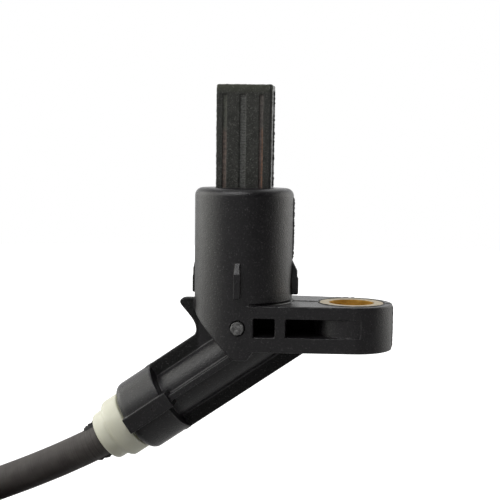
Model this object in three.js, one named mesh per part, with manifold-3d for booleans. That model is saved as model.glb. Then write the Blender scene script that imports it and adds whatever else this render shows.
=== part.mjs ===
// ABS wheel speed sensor: an inductive pickup in a moulded housing, with its cable, coil of cable and plug.
// Millimetres. The origin is on the barrel's axis in the seating plane of the lug. +Z runs up the barrel
// to the sensing tip, +X runs from the barrel to the bolt, and -Y is the front.
import * as THREE from "three";
import { mergeVertices } from "three/addons/utils/BufferGeometryUtils.js";
import Module from "manifold-3d";

// Barrel and lug
const barrelRadius = 9;
const barrelTaper = 0.08;
const barrelBaseRadius = barrelRadius - barrelTaper;
const barrelTop = 20.5;
const barrelFillet = 1.45;
const lugThickness = 8.3;
const lugEndRadius = 7.4;
const lugEdge = 0.25;
const boltOffset = 19.8;
const keelDrop = 1.5;
const keelHalfWidth = 1.3;
const keelCentre = 0.45;
const keelSlope = 1.05;
const heelCut = 10.6;

// Pockets that thin the lug
const pocketTop = 2.25;
const pocketHeight = 3.3;
const pocketWebThickness = 1.5;
const smallPocketStart = 2.85;
const smallPocketLength = 3.75;
const longPocketStart = 8.5;
const longPocketLength = 13.1;
const bossRadius = 7.25;

// Crush ribs round the foot of the barrel
const crushRibWidth = 1.15;
const crushRibTop = 7.5;
const crushRibBottom = 1.2;
const crushRibHeight = 1.15;
const leftRibHeight = 0.45;
const crushRibStep = 0.75;
const crushRibLead = 1.8;
const crushRibChamfer = 0.4;

// Gate stub on the front
const gateRadius = 1.15;
const gateProud = 0.6;
const gateHeight = 4;
const gateRecess = 0.4;
const gateRing = 0.15;

// Cable outlet, which slopes down to the left
const outletHeight = -8.94;
const outletAngle = THREE.MathUtils.degToRad(34.9);
const coreRadius = 4.5;
const coreStart = -7.6;
const flangeRadius = 6.87;
const flangeThickness = 2.5;
const collarStart = 16.2;
const collarEnd = 24.5;
const collarRound = 1.5;
const ribThickness = 1.1;
const ribReach = 6.7;
const padLength = 9.5;
const padWidth = 3;
const padReach = 7.35;
const flangeStart = 6.9;

// Horn beside the barrel, above the outlet
const hornRise = 0.15;
const hornReach = 11.6;
const hornNose = 1.5;
const hornNeck = 8.55;
const hornWaist = 3.8;
const hornFall = 5.6;

// Brass bush in the lug
const bushRadius = 5.77;
const bushBore = 4.05;
const bushProud = 0.1;
const bushChamfer = 0.2;

// Sensing bar and spool, one moulding
const barWidth = 9.8;
const barDepth = 5.4;
const barTip = 38.95;
const barCorner = 0.45;
const tipWall = 0.8;
const grooveDepth = 0.3;
const grooveEnd = 1.8;
const sideGrooveWidth = 0.7;
const middleGrooveWidth = 1.1;
const sideGrooveOffset = 3.28;
const flangeDisc = 7.1;
const flangeDiscThickness = 1.2;
const spoolRadius = 4.3;
const spoolLength = 8.4;
const skirtRadius = 5.4;

// Magnetic circuit
const poleWidth = 6;
const poleDepth = 2.6;
const magnetRadius = 4;
const magnetLength = 3.5;
const windingRadius = 6.8;

// Terminals, crimps and cores
const terminalWidth = 1.6;
const terminalThickness = 0.5;
const terminalReach = 6.2;
const terminalLift = 2.8;
const terminalRise = 0.8;
const coreOffset = 1.4;
const coreLine = -1.2;
const conductorRadius = 0.4;
const conductorLength = 2.6;
const crimpRadius = 0.95;
const crimpLength = 1.6;
const insulationRadius = 0.8;
const coreBendStart = 1.2;
const coreBendEnd = 4.4;
const coreStraight = 8;

// Hollows of the housing
const boreRadius = 7.4;
const roofThickness = 1.6;
const boreFloor = -0.9;
const throatHalfWidth = 1.4;
const throatHalfDepth = 2.6;
const passageRadius = 2.75;
const passageStart = 2;
const collarBore = 5.3;
const collarWall = 1.2;

// Cable, its seal and its nylon sleeve
const cableRadius = 3.1;
const cableSetback = 0.4;
const sealSetback = 0.2;
const sealLength = 1.3;
const sleeveRingRadius = 5.75;
const sleeveRingLength = 3.8;
const sleeveTipRadius = 4.73;
const sleeveTipLength = 2.7;
const sleeveRound = 0.8;

// Coil of spare cable, which lies in front and to the left
const coilCentre = new THREE.Vector2(-62, -33);
const coilBottom = -52;
const coilRadius = 33;
const turnPitch = 6.6;
const coilLayers = 2;
const coilSegments = 48;

// Cable tie round the coil
const tieThickness = 1;
const tieWidth = 3.6;
const tieHeadWidth = 5;
const tieHeadLength = 7;
const tieHeadHeight = 4;

// Plug on the end of the cable
const plugRear = -32;
const plugLength = 26;
const plugWidth = 15.6;
const plugHeight = 12;
const plugCorner = 1.6;
const plugWall = 1.6;
const socketDepth = 13;
const pinReach = 8;
const pinWidth = 1.5;
const pinThickness = 0.8;
const pinPitch = 5;
const pinTail = 3;
const spigotLength = 8;
const spigotRadius = 5.6;
const spigotWall = 1.2;
const bulkhead = 3;
const plugSealInset = 1;
const plugSealLength = 4;
const latchLength = 6;
const latchWidth = 5;
const latchHeight = 1.6;
const latchSetback = 3;

// Clearances
const fitGap = 0.25;
const seatGap = 0.3;
const overcut = 1;
const rootDepth = 1.2;

// Segments of a full circle
const round = 48;

const wasm = await Module();
wasm.setup();

// A closed geometry as a solid that can be joined and cut
function solid(geometry) {
  const bare = geometry.clone();
  bare.deleteAttribute("normal");
  bare.deleteAttribute("uv");
  const merged = mergeVertices(bare, 1e-4);
  const vertProperties = new Float32Array(merged.attributes.position.array);
  const triVerts = new Uint32Array(merged.index.array);
  return new wasm.Manifold(new wasm.Mesh({ numProp: 3, vertProperties, triVerts }));
}

function geometryOf(made) {
  const mesh = made.getMesh();
  const geometry = new THREE.BufferGeometry();
  geometry.setAttribute("position", new THREE.BufferAttribute(new Float32Array(mesh.vertProperties), 3));
  geometry.setIndex(new THREE.BufferAttribute(new Uint32Array(mesh.triVerts), 1));
  geometry.computeVertexNormals();
  return geometry;
}

function material(color, roughness, metalness = 0) {
  return new THREE.MeshStandardMaterial({ color, roughness, metalness, flatShading: true });
}

function named(name, made, finish) {
  const mesh = new THREE.Mesh(geometryOf(made), finish);
  mesh.name = name;
  return mesh;
}

// A box given by its lowest and highest corners
function block(x0, x1, y0, y1, z0, z1) {
  const geometry = new THREE.BoxGeometry(x1 - x0, y1 - y0, z1 - z0);
  geometry.translate((x0 + x1) / 2, (y0 + y1) / 2, (z0 + z1) / 2);
  return solid(geometry);
}

// A cylinder along Z
function rod(radius, z0, z1, x = 0, y = 0, segments = round) {
  const geometry = new THREE.CylinderGeometry(radius, radius, z1 - z0, segments);
  geometry.rotateX(Math.PI / 2);
  geometry.translate(x, y, (z0 + z1) / 2);
  return solid(geometry);
}

// A profile of [radius, height] pairs turned round Z
function turned(profile, segments = round) {
  const points = profile.map(([r, z]) => new THREE.Vector2(r, z));
  const geometry = new THREE.LatheGeometry(points, segments);
  geometry.rotateX(Math.PI / 2);
  return solid(geometry);
}

// A ring of square section round Z
function ring(inner, outer, z0, z1, segments = round) {
  return rod(outer, z0, z1, 0, 0, segments).subtract(rod(inner, z0 - overcut, z1 + overcut, 0, 0, segments));
}

// Points of a quarter circle between two directions, for the rounded edge of a turned profile
function corner(r, z, radius, from, to, steps = 4) {
  const points = [];
  for (let i = 0; i <= steps; i++) {
    const angle = THREE.MathUtils.degToRad(from + ((to - from) * i) / steps);
    points.push([r + radius * Math.cos(angle), z + radius * Math.sin(angle)]);
  }
  return points;
}

// An outline in the XZ plane, thick along Y between y0 and y1
function plate(outline, y0, y1) {
  const geometry = new THREE.ExtrudeGeometry(outline, {
    depth: y1 - y0,
    bevelEnabled: false,
    curveSegments: 8,
  });
  geometry.rotateX(Math.PI / 2);
  geometry.translate(0, y1, 0);
  return solid(geometry);
}

function shapeOf(points) {
  return new THREE.Shape(points.map(([x, z]) => new THREE.Vector2(x, z)));
}

// The frame of the cable outlet: Z runs out along the cable, Y up and left, X to the front
const outletAlong = new THREE.Vector3(-Math.cos(outletAngle), 0, -Math.sin(outletAngle));
const outletUp = new THREE.Vector3(-Math.sin(outletAngle), 0, Math.cos(outletAngle));
const outletFront = new THREE.Vector3(0, -1, 0);
const outletFrame = new THREE.Matrix4().makeBasis(outletFront, outletUp, outletAlong);
outletFrame.setPosition(0, 0, outletHeight);

function atOutlet(made) {
  return solid(geometryOf(made).applyMatrix4(outletFrame));
}

// A point of the outlet's own plane, as [x, z] of the part
function outletPoint(along, up) {
  const point = new THREE.Vector3(0, up, along).applyMatrix4(outletFrame);
  return [point.x, point.z];
}

function barrel() {
  const foot = -lugThickness - keelDrop;
  const shoulder = barrelRadius - barrelFillet;
  const body = turned([
    [0, foot],
    [barrelBaseRadius, foot],
    [barrelBaseRadius, 0],
    ...corner(shoulder, barrelTop - barrelFillet, barrelFillet, 0, 90),
    [0, barrelTop],
  ]);
  const far = 40;
  const keelLeft = keelCentre - keelHalfWidth;
  const keelRight = keelCentre + keelHalfWidth;
  const kept = shapeOf([
    [-far, far - heelCut],
    [keelLeft, -heelCut - keelLeft],
    [keelLeft, foot],
    [keelRight, foot],
    [keelRight + keelSlope, -lugThickness],
    [far, -lugThickness],
    [far, far],
    [-far, far],
  ]);
  return body.intersect(plate(kept, -far, far));
}

// The lug's plan is drawn tight round the barrel and the boss
function lug() {
  const lean = Math.asin((barrelBaseRadius - lugEndRadius) / boltOffset);
  const side = Math.PI / 2 - lean;
  const inset = lugEdge;
  const plan = new THREE.Shape();
  plan.absarc(0, 0, barrelBaseRadius - inset, side, -side, false);
  plan.absarc(boltOffset, 0, lugEndRadius - inset, -side, side, false);
  const geometry = new THREE.ExtrudeGeometry(plan, {
    depth: lugThickness - 2 * lugEdge,
    bevelThickness: lugEdge,
    bevelSize: lugEdge,
    bevelSegments: 2,
    curveSegments: 24,
  });
  geometry.translate(0, 0, -lugThickness + lugEdge);
  return solid(geometry);
}

function pockets() {
  const high = -pocketTop;
  const low = -pocketTop - pocketHeight;
  const web = pocketWebThickness / 2;
  const out = barrelRadius + overcut;
  const boss = rod(bossRadius, low - overcut, high + overcut, boltOffset);
  const sides = [
    [-out, -web],
    [web, out],
  ];
  const cuts = sides.map(([y0, y1]) => {
    const small = block(smallPocketStart, smallPocketStart + smallPocketLength, y0, y1, low, high);
    const long = block(longPocketStart, longPocketStart + longPocketLength, y0, y1, low, high);
    return small.add(long.subtract(boss));
  });
  return cuts[0].add(cuts[1]);
}

// One rib with a lead-in at its top and a step at its middle, on the +X side
function crushRib(height) {
  const inside = barrelBaseRadius - rootDepth;
  const step = (crushRibTop + crushRibBottom) / 2;
  const ramp = crushRibChamfer / 2;
  const upper = barrelBaseRadius + height * crushRibStep;
  const lower = barrelBaseRadius + height;
  const outline = shapeOf([
    [inside, crushRibBottom],
    [lower - crushRibChamfer, crushRibBottom],
    [lower, crushRibBottom + crushRibChamfer],
    [lower, step - ramp],
    [upper, step + ramp],
    [upper, crushRibTop - crushRibLead],
    [barrelBaseRadius, crushRibTop],
    [inside, crushRibTop],
  ]);
  return plate(outline, -crushRibWidth / 2, crushRibWidth / 2);
}

function crushRibs() {
  const heights = [crushRibHeight, crushRibHeight, leftRibHeight, crushRibHeight];
  const ribs = heights.map((height, i) => crushRib(height).rotate([0, 0, 90 * i]));
  return ribs.reduce((all, rib) => all.add(rib));
}

// Parting-plane web: the horn beside the barrel, and the flanges above and below the outlet
function web() {
  const outline = new THREE.Shape();
  const inside = -barrelBaseRadius + rootDepth;
  const tip = -hornReach;
  const neck = -hornNeck;
  outline.moveTo(inside, hornRise);
  outline.lineTo(tip + hornNose, hornRise);
  outline.quadraticCurveTo(tip, hornRise, tip, hornRise - hornNose / 2);
  outline.bezierCurveTo(tip, hornRise - hornNose, neck, hornRise - hornWaist, neck, hornRise - hornFall);
  outline.quadraticCurveTo(neck, hornRise - hornFall - rootDepth, ...outletPoint(flangeStart, flangeRadius));
  outline.lineTo(...outletPoint(collarStart + overcut, flangeRadius));
  outline.lineTo(...outletPoint(collarStart + overcut, -flangeRadius));
  const drop = lugThickness - overcut + outletHeight - flangeRadius * Math.cos(outletAngle);
  const reach = drop / Math.sin(outletAngle);
  outline.lineTo(...outletPoint(reach, -flangeRadius));
  const base = -lugThickness + overcut;
  outline.lineTo(-heelCut - base + rootDepth, base);
  outline.lineTo(inside, -heelCut - inside + rootDepth);
  return plate(outline, -flangeThickness / 2, flangeThickness / 2);
}

function outlet() {
  const core = rod(coreRadius, coreStart, collarStart + overcut);
  const rounded = corner(flangeRadius - collarRound, collarEnd - collarRound, collarRound, 0, 90);
  const collar = turned([[0, collarStart], [flangeRadius, collarStart], ...rounded, [0, collarEnd]]);
  const padStart = collarEnd - padLength;
  const rib = block(-ribReach, ribReach, -ribThickness / 2, ribThickness / 2, 0, padStart + overcut);
  const pad = block(-padReach, padReach, -padWidth / 2, padWidth / 2, padStart, collarEnd);
  return atOutlet(core.add(collar).add(rib).add(pad));
}

// The stub that the mould's gate leaves, in its shallow recess
function gate(radius, from, to) {
  const geometry = new THREE.CylinderGeometry(radius, radius, to - from, 32);
  geometry.translate(0, -(from + to) / 2, -gateHeight);
  return solid(geometry);
}

function housingHollow() {
  const bore = rod(boreRadius, boreFloor, barrelTop - roofThickness);
  const halfWidth = barWidth / 2 + fitGap;
  const halfDepth = barDepth / 2 + fitGap;
  const mouth = block(-halfWidth, halfWidth, -halfDepth, halfDepth, 0, barrelTop + overcut);
  const left = coreLine - throatHalfWidth;
  const right = coreLine + throatHalfWidth;
  const [, bend] = outletPoint(passageStart, 0);
  const throat = block(left, right, -throatHalfDepth, throatHalfDepth, bend, boreFloor + overcut);
  const passage = rod(passageRadius, -seatGap, collarStart + overcut + collarWall, 0, 0, 32);
  const socket = rod(collarBore, collarStart + collarWall, collarEnd + overcut);
  return bore.add(mouth).add(throat).add(atOutlet(passage.add(socket)));
}

function housing() {
  const bushHole = rod(bushRadius + fitGap, -lugThickness - overcut, overcut, boltOffset);
  const made = barrel()
    .add(lug())
    .add(outlet())
    .subtract(pockets())
    .add(crushRibs())
    .add(web())
    .subtract(gate(gateRadius + gateRing, barrelBaseRadius - gateRecess, barrelRadius + overcut))
    .add(gate(gateRadius, barrelBaseRadius - rootDepth, barrelBaseRadius + gateProud))
    .subtract(bushHole)
    .subtract(housingHollow());
  return named("housing", made, material(0x2a2b2e, 0.45));
}

// Heights inside the barrel, from the roof down
const topDisc = barrelTop - roofThickness - seatGap - flangeDiscThickness;
const bottomDisc = topDisc - spoolLength - flangeDiscThickness;
const magnetTop = bottomDisc - 2 * seatGap;
const magnetBottom = magnetTop - magnetLength;
const skirtBottom = magnetBottom - seatGap;
const terminalFoot = boreFloor + terminalLift;
const poleFoot = magnetTop + seatGap;

function barGrooves() {
  const top = barTip - grooveEnd;
  const bottom = barrelTop - roofThickness;
  const face = barDepth / 2;
  const lines = [
    [-sideGrooveOffset, sideGrooveWidth],
    [0, middleGrooveWidth],
    [sideGrooveOffset, sideGrooveWidth],
  ];
  const cuts = [];
  for (const [x, width] of lines) {
    const x0 = x - width / 2;
    const x1 = x + width / 2;
    cuts.push(block(x0, x1, -face - overcut, -face + grooveDepth, bottom, top));
    cuts.push(block(x0, x1, face - grooveDepth, face + overcut, bottom, top));
  }
  return cuts.reduce((all, cut) => all.add(cut));
}

function bar() {
  const c = barCorner;
  const plan = new THREE.Shape();
  plan.moveTo(-barWidth / 2 + c, -barDepth / 2 + c);
  plan.lineTo(barWidth / 2 - c, -barDepth / 2 + c);
  plan.lineTo(barWidth / 2 - c, barDepth / 2 - c);
  plan.lineTo(-barWidth / 2 + c, barDepth / 2 - c);
  const geometry = new THREE.ExtrudeGeometry(plan, {
    depth: barTip - topDisc - 2 * c,
    bevelThickness: c,
    bevelSize: c,
    bevelSegments: 2,
  });
  geometry.translate(0, 0, topDisc + c);
  return solid(geometry);
}

function coilFormer() {
  const notchDepth = terminalThickness / 2 + fitGap;
  const notches = [-1, 1].map((side) => {
    const near = side * (terminalReach - notchDepth);
    const far = side * (flangeDisc + overcut);
    const x0 = coreLine - terminalWidth / 2 - fitGap;
    const x1 = coreLine + terminalWidth / 2 + fitGap;
    const [y0, y1] = [Math.min(near, far), Math.max(near, far)];
    return block(x0, x1, y0, y1, bottomDisc - overcut, bottomDisc + flangeDiscThickness + overcut);
  });
  const poleBore = block(
    -poleWidth / 2 - seatGap,
    poleWidth / 2 + seatGap,
    -poleDepth / 2 - seatGap,
    poleDepth / 2 + seatGap,
    magnetTop - overcut,
    barTip - tipWall,
  );
  const made = bar()
    .add(rod(flangeDisc, topDisc, topDisc + flangeDiscThickness))
    .add(rod(spoolRadius, bottomDisc, topDisc + overcut / 2))
    .add(rod(flangeDisc, bottomDisc, bottomDisc + flangeDiscThickness))
    .add(rod(skirtRadius, skirtBottom, bottomDisc + overcut / 2))
    .subtract(barGrooves())
    .subtract(poleBore)
    .subtract(rod(magnetRadius + seatGap, skirtBottom - overcut, magnetTop + seatGap))
    .subtract(notches[0])
    .subtract(notches[1]);
  return named("coil_former", made, material(0x24241f, 0.7));
}

function poleBar() {
  const top = barTip - tipWall - seatGap;
  const made = block(-poleWidth / 2, poleWidth / 2, -poleDepth / 2, poleDepth / 2, poleFoot, top);
  return named("pole_bar", made, material(0x8d8f92, 0.4, 0.9));
}

function magnet() {
  const made = rod(magnetRadius, magnetBottom, magnetTop);
  return named("magnet", made, material(0x6d6e70, 0.35, 0.8));
}

function winding() {
  const inner = spoolRadius + seatGap;
  const low = bottomDisc + flangeDiscThickness + seatGap;
  const made = ring(inner, windingRadius, low, topDisc - seatGap);
  return named("coil_winding", made, material(0x9c4a22, 0.4, 0.6));
}

// Each side, by name, is 1 for the back and -1 for the front
const sides = { front: -1, rear: 1 };

function terminal(name, side) {
  const half = terminalThickness / 2;
  const x0 = coreLine - terminalWidth / 2;
  const x1 = coreLine + terminalWidth / 2;
  const outer = terminalReach + half;
  const inner = coreOffset - terminalWidth / 2;
  const upright = block(x0, x1, terminalReach - half, outer, terminalFoot, bottomDisc + terminalRise);
  const foot = block(x0, x1, inner, outer, terminalFoot, terminalFoot + terminalThickness);
  const rear = upright.add(foot);
  const made = side < 0 ? rear.mirror([0, 1, 0]) : rear;
  return named("terminal_" + name, made, material(0xb8923c, 0.35, 0.9));
}

function conductor(name, side) {
  const top = terminalFoot - seatGap;
  const made = rod(conductorRadius, top - conductorLength, top, coreLine, side * coreOffset, 16);
  return named("conductor_" + name, made, material(0xb5693a, 0.35, 0.9));
}

function crimp(name, side) {
  const top = terminalFoot - seatGap;
  const bore = conductorRadius + seatGap;
  const sleeve = ring(bore, crimpRadius, top - crimpLength, top, 24);
  const made = sleeve.translate([coreLine, side * coreOffset, 0]);
  return named("crimp_" + name, made, material(0xa9abad, 0.35, 0.9));
}

const cableStart = collarStart + collarWall + cableSetback;

function coreInsulation(name, side, color) {
  const y = side * coreOffset;
  const top = terminalFoot - 2 * seatGap - conductorLength;
  const [endX, endZ] = outletPoint(cableStart - seatGap, 0);
  const [bendX, bendZ] = outletPoint(coreBendEnd, 0);
  const [lineX, lineZ] = outletPoint(coreStraight, 0);
  const path = new THREE.CatmullRomCurve3([
    new THREE.Vector3(coreLine, y, top),
    new THREE.Vector3(coreLine, y, (top + outletHeight) / 2),
    new THREE.Vector3(coreLine, y, outletHeight + coreBendStart),
    new THREE.Vector3(bendX, y, bendZ),
    new THREE.Vector3(lineX, y, lineZ),
    new THREE.Vector3(endX, y, endZ),
  ]);
  return named("core_insulation_" + name, tube(path, insulationRadius, 8, 16), material(color, 0.5));
}

// A round section with the given number of sides, swept along a curve
function tube(path, radius, sidesOfSection, steps) {
  const section = new THREE.Shape();
  for (let i = 0; i < sidesOfSection; i++) {
    const angle = (2 * Math.PI * i) / sidesOfSection;
    const point = [radius * Math.cos(angle), radius * Math.sin(angle)];
    if (i === 0) section.moveTo(...point);
    else section.lineTo(...point);
  }
  return solid(new THREE.ExtrudeGeometry(section, { steps, extrudePath: path }));
}

function brassBush() {
  const low = -lugThickness - bushProud;
  const c = bushChamfer;
  const made = turned([
    [bushBore + c, low],
    [bushRadius - c, low],
    [bushRadius, low + c],
    [bushRadius, bushProud - c],
    [bushRadius - c, bushProud],
    [bushBore + c, bushProud],
    [bushBore, bushProud - c],
    [bushBore, low + c],
    [bushBore + c, low],
  ]).translate([boltOffset, 0, 0]);
  return named("lug_bush", made, material(0xcdb27a, 0.35, 0.9));
}

const sealStart = cableStart + sealSetback;
const sleeveStart = sealStart + sealLength + seatGap;

function cableSeal() {
  const made = ring(cableRadius + seatGap, collarBore - seatGap, sealStart, sealStart + sealLength, 40);
  return named("cable_seal", atOutlet(made), material(0x3a3026, 0.8));
}

const sleeveShoulder = collarEnd + seatGap;
const sleeveStep = sleeveShoulder + sleeveRingLength;
const sleeveEnd = sleeveStep + sleeveTipLength;

function nylonSleeve() {
  const bore = cableRadius + seatGap;
  const c = sleeveRound;
  const made = turned(
    [
      [bore, sleeveStart],
      [collarBore - seatGap, sleeveStart],
      [collarBore - seatGap, sleeveShoulder],
      [sleeveRingRadius, sleeveShoulder],
      ...corner(sleeveRingRadius - c, sleeveStep - c, c, 0, 90),
      [sleeveTipRadius, sleeveStep],
      ...corner(sleeveTipRadius - c, sleeveEnd - c, c, 0, 90),
      [bore, sleeveEnd],
      [bore, sleeveStart],
    ],
    40,
  );
  return named("nylon_sleeve", atOutlet(made), material(0xd8d8c8, 0.45));
}

// Heights of the cable's centre in the two layers of the coil
const lowLayer = coilBottom + cableRadius;
const coilTop = coilBottom + 2 * cableRadius * coilLayers;

// The cable from inside the sleeve to the top of the coil. Its outer points were chosen by hand.
function cable() {
  const inPlane = ([x, z]) => new THREE.Vector3(x, 0, z);
  const path = new THREE.CatmullRomCurve3([
    inPlane(outletPoint(cableStart, 0)),
    inPlane(outletPoint((cableStart + sleeveEnd) / 2, 0)),
    inPlane(outletPoint(sleeveEnd - 1.5, 0)),
    inPlane(outletPoint(sleeveEnd + 1, 0.02)),
    new THREE.Vector3(-28.9, 0, -28.78),
    new THREE.Vector3(-31.8, 0, -30.25),
    new THREE.Vector3(-34.6, 0, -31.62),
    new THREE.Vector3(-37.7, 0, -33.04),
    new THREE.Vector3(-40.8, 0, -34.41),
    new THREE.Vector3(-43.6, 0, -35.58),
    new THREE.Vector3(-47.4, 0, -37.13),
  ]);
  return named("cable", tube(path, cableRadius, 10, 15), material(0x3b3735, 0.6));
}

// The coil's outer shape: three turns side by side below, and two on top of them
function cableCoil() {
  const inner = coilRadius - turnPitch - cableRadius;
  const outer = coilRadius + turnPitch + cableRadius;
  const upper = coilRadius + cableRadius;
  const c = cableRadius / 2;
  const made = turned(
    [
      [inner + c, coilBottom],
      [outer - c, coilBottom],
      [outer, coilBottom + c],
      [outer, lowLayer + c],
      [upper, coilTop - c],
      [upper - c, coilTop],
      [inner + c, coilTop],
      [inner, coilTop - c],
      [inner, coilBottom + c],
      [inner + c, coilBottom],
    ],
    coilSegments,
  ).translate([coilCentre.x, coilCentre.y, 0]);
  return named("cable_coil", made, material(0x3b3735, 0.6));
}

// A band round the coil's section, on the side away from the plug
function cableTie() {
  const gap = seatGap;
  const inner = coilRadius - turnPitch - cableRadius - gap;
  const outer = coilRadius + turnPitch + cableRadius + gap;
  const upper = coilRadius + cableRadius + gap;
  const high = coilTop + gap;
  const low = coilBottom - gap;
  const t = tieThickness;
  const slant = t / 2;
  const outline = shapeOf([
    [-outer - t, low - t],
    [-inner + t, low - t],
    [-inner + t, high + t],
    [-upper - slant, high + t],
    [-outer - t, lowLayer + cableRadius],
  ]);
  const hole = [
    [-outer, low],
    [-inner, low],
    [-inner, high],
    [-upper, high],
    [-outer, lowLayer + cableRadius - slant],
  ];
  outline.holes.push(new THREE.Path(hole.map(([x, z]) => new THREE.Vector2(x, z))));
  const half = tieWidth / 2;
  const band = plate(outline, -half, half);
  const side = tieHeadWidth / 2;
  const head = block(-inner - tieHeadLength + slant, -inner + slant, -side, side, high, high + tieHeadHeight);
  const made = band.add(head).translate([coilCentre.x, coilCentre.y, 0]);
  return named("cable_tie", made, material(0x161616, 0.5));
}

// The plug lies on the same floor as the tie, in line with the coil's last turn
const floorHeight = coilBottom - seatGap - tieThickness;
const plugLine = coilCentre.y - coilRadius - turnPitch;
const plugAxis = floorHeight + plugHeight / 2;

function cableTail() {
  const point = (x, z) => new THREE.Vector3(x, plugLine, z);
  const path = new THREE.CatmullRomCurve3([
    point(-39.3, -48.48),
    point(-35, -47.95),
    point(plugRear, -47.45),
    point(plugRear + 3, plugAxis),
    point(plugRear + spigotLength - 1.5, plugAxis),
  ]);
  return named("cable_tail", tube(path, cableRadius, 10, 6), material(0x3b3735, 0.6));
}

// The two pins lie side by side
const pinSides = [-1, 1];

// A cylinder along X on the plug's own axis
function plugRod(radius, x0, x1, segments = 32) {
  const geometry = new THREE.CylinderGeometry(radius, radius, x1 - x0, segments);
  geometry.rotateZ(Math.PI / 2);
  geometry.translate((x0 + x1) / 2, 0, 0);
  return solid(geometry);
}

// An upright rectangle with round corners, long along X
function plugBlock(width, height, radius, x0, x1) {
  const w = width / 2;
  const h = height / 2;
  const section = new THREE.Shape();
  const quarter = Math.PI / 2;
  section.absarc(w - radius, h - radius, radius, 0, quarter, false);
  section.absarc(radius - w, h - radius, radius, quarter, 2 * quarter, false);
  section.absarc(radius - w, radius - h, radius, 2 * quarter, 3 * quarter, false);
  section.absarc(w - radius, radius - h, radius, 3 * quarter, 4 * quarter, false);
  const geometry = new THREE.ExtrudeGeometry(section, {
    depth: x1 - x0,
    bevelEnabled: false,
    curveSegments: 5,
  });
  geometry.rotateX(Math.PI / 2);
  geometry.rotateZ(Math.PI / 2);
  geometry.translate(x0, 0, 0);
  return solid(geometry);
}

const plugFront = plugRear + spigotLength + plugLength;
const socketFloor = plugFront - socketDepth;

function atPlug(made) {
  return made.translate([0, plugLine, plugAxis]);
}

function plugHousing() {
  const start = plugRear + spigotLength;
  const innerWidth = plugWidth - 2 * plugWall;
  const innerHeight = plugHeight - 2 * plugWall;
  const shell = plugBlock(plugWidth, plugHeight, plugCorner, start, plugFront);
  const socket = plugBlock(innerWidth, innerHeight, plugCorner / 2, socketFloor, plugFront + overcut);
  const spigot = plugRod(spigotRadius, plugRear, start + overcut);
  const rear = plugRod(spigotRadius - spigotWall, plugRear - overcut, socketFloor - bulkhead);
  const x1 = plugFront - latchSetback;
  const top = plugHeight / 2;
  const latch = shapeOf([
    [x1 - latchLength, top - plugWall / 2],
    [x1 - latchLength, top + latchHeight],
    [x1 - latchLength + latchHeight, top + latchHeight],
    [x1, top],
    [x1, top - plugWall / 2],
  ]);
  const ramp = plate(latch, -latchWidth / 2, latchWidth / 2);
  const slotStart = socketFloor - bulkhead - overcut;
  const slots = pinSides.map((side) => pinBlock(side, fitGap, slotStart, socketFloor + overcut));
  const made = shell
    .add(spigot)
    .add(ramp)
    .subtract(socket)
    .subtract(rear)
    .subtract(slots[0])
    .subtract(slots[1]);
  return named("plug_housing", atPlug(made), material(0x232427, 0.5));
}

// A blade on one side of the plug, or with a gap the slot that it sits in
function pinBlock(side, gap, x0, x1) {
  const y = (side * pinPitch) / 2;
  const halfWidth = pinWidth / 2 + gap;
  const halfThickness = pinThickness / 2 + gap;
  return block(x0, x1, y - halfWidth, y + halfWidth, -halfThickness, halfThickness);
}

function plugPin(index) {
  const made = pinBlock(pinSides[index], 0, socketFloor - bulkhead - pinTail, socketFloor + pinReach);
  return named("plug_pin_" + (index + 1), atPlug(made), material(0xc9c4b4, 0.3, 0.9));
}

function plugSeal() {
  const inner = cableRadius + seatGap;
  const outer = spigotRadius - spigotWall - seatGap;
  const start = plugRear + plugSealInset;
  const end = start + plugSealLength;
  const made = plugRod(outer, start, end).subtract(plugRod(inner, start - overcut, end + overcut));
  return named("plug_seal", atPlug(made), material(0x5a2f22, 0.8));
}

const sensor = new THREE.Group();
sensor.add(
  housing(),
  coilFormer(),
  poleBar(),
  magnet(),
  winding(),
  brassBush(),
  cableSeal(),
  nylonSleeve(),
  coreInsulation("front", sides.front, 0x7a4a2a),
  coreInsulation("rear", sides.rear, 0x2b4a8a),
);
for (const [name, side] of Object.entries(sides)) {
  sensor.add(terminal(name, side), conductor(name, side), crimp(name, side));
}

const lead = new THREE.Group();
lead.add(cable(), cableCoil(), cableTie(), cableTail());
lead.add(plugHousing(), plugPin(0), plugPin(1), plugSeal());

const assembly = new THREE.Group();
assembly.add(sensor, lead);
export default assembly;
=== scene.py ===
# The looks of an ABS wheel speed sensor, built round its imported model.
# Shapes are written in millimetres, as signed distances where they are moulded, and made in metres.
import math

import bpy
import numpy as np
from mathutils import Matrix, Vector, noise


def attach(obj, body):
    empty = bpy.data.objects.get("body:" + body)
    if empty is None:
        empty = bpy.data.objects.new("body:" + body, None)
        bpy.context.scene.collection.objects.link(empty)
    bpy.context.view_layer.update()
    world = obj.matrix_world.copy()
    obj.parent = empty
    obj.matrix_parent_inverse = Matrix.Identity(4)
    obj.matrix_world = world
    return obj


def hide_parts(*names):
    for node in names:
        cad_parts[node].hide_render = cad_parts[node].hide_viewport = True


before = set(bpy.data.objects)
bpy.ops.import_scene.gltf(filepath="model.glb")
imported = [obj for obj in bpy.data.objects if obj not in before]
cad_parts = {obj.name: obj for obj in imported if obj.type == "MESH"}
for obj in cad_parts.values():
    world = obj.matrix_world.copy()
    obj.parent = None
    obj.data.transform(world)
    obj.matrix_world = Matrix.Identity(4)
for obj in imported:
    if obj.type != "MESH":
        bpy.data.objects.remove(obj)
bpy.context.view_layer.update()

MM = 0.001
IMAGE = 500

# The camera stands a little to the right of the front and a little above
CAMERA_AZIMUTH = math.radians(6.51)
CAMERA_ELEVATION = math.radians(4.77)
CAMERA_ROLL = math.radians(0.80)
CAMERA_PLACE = (22.7, -189.0, 25.0)
FOCAL_PIXELS = 1044.2
SENSOR_WIDTH = 36

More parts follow.
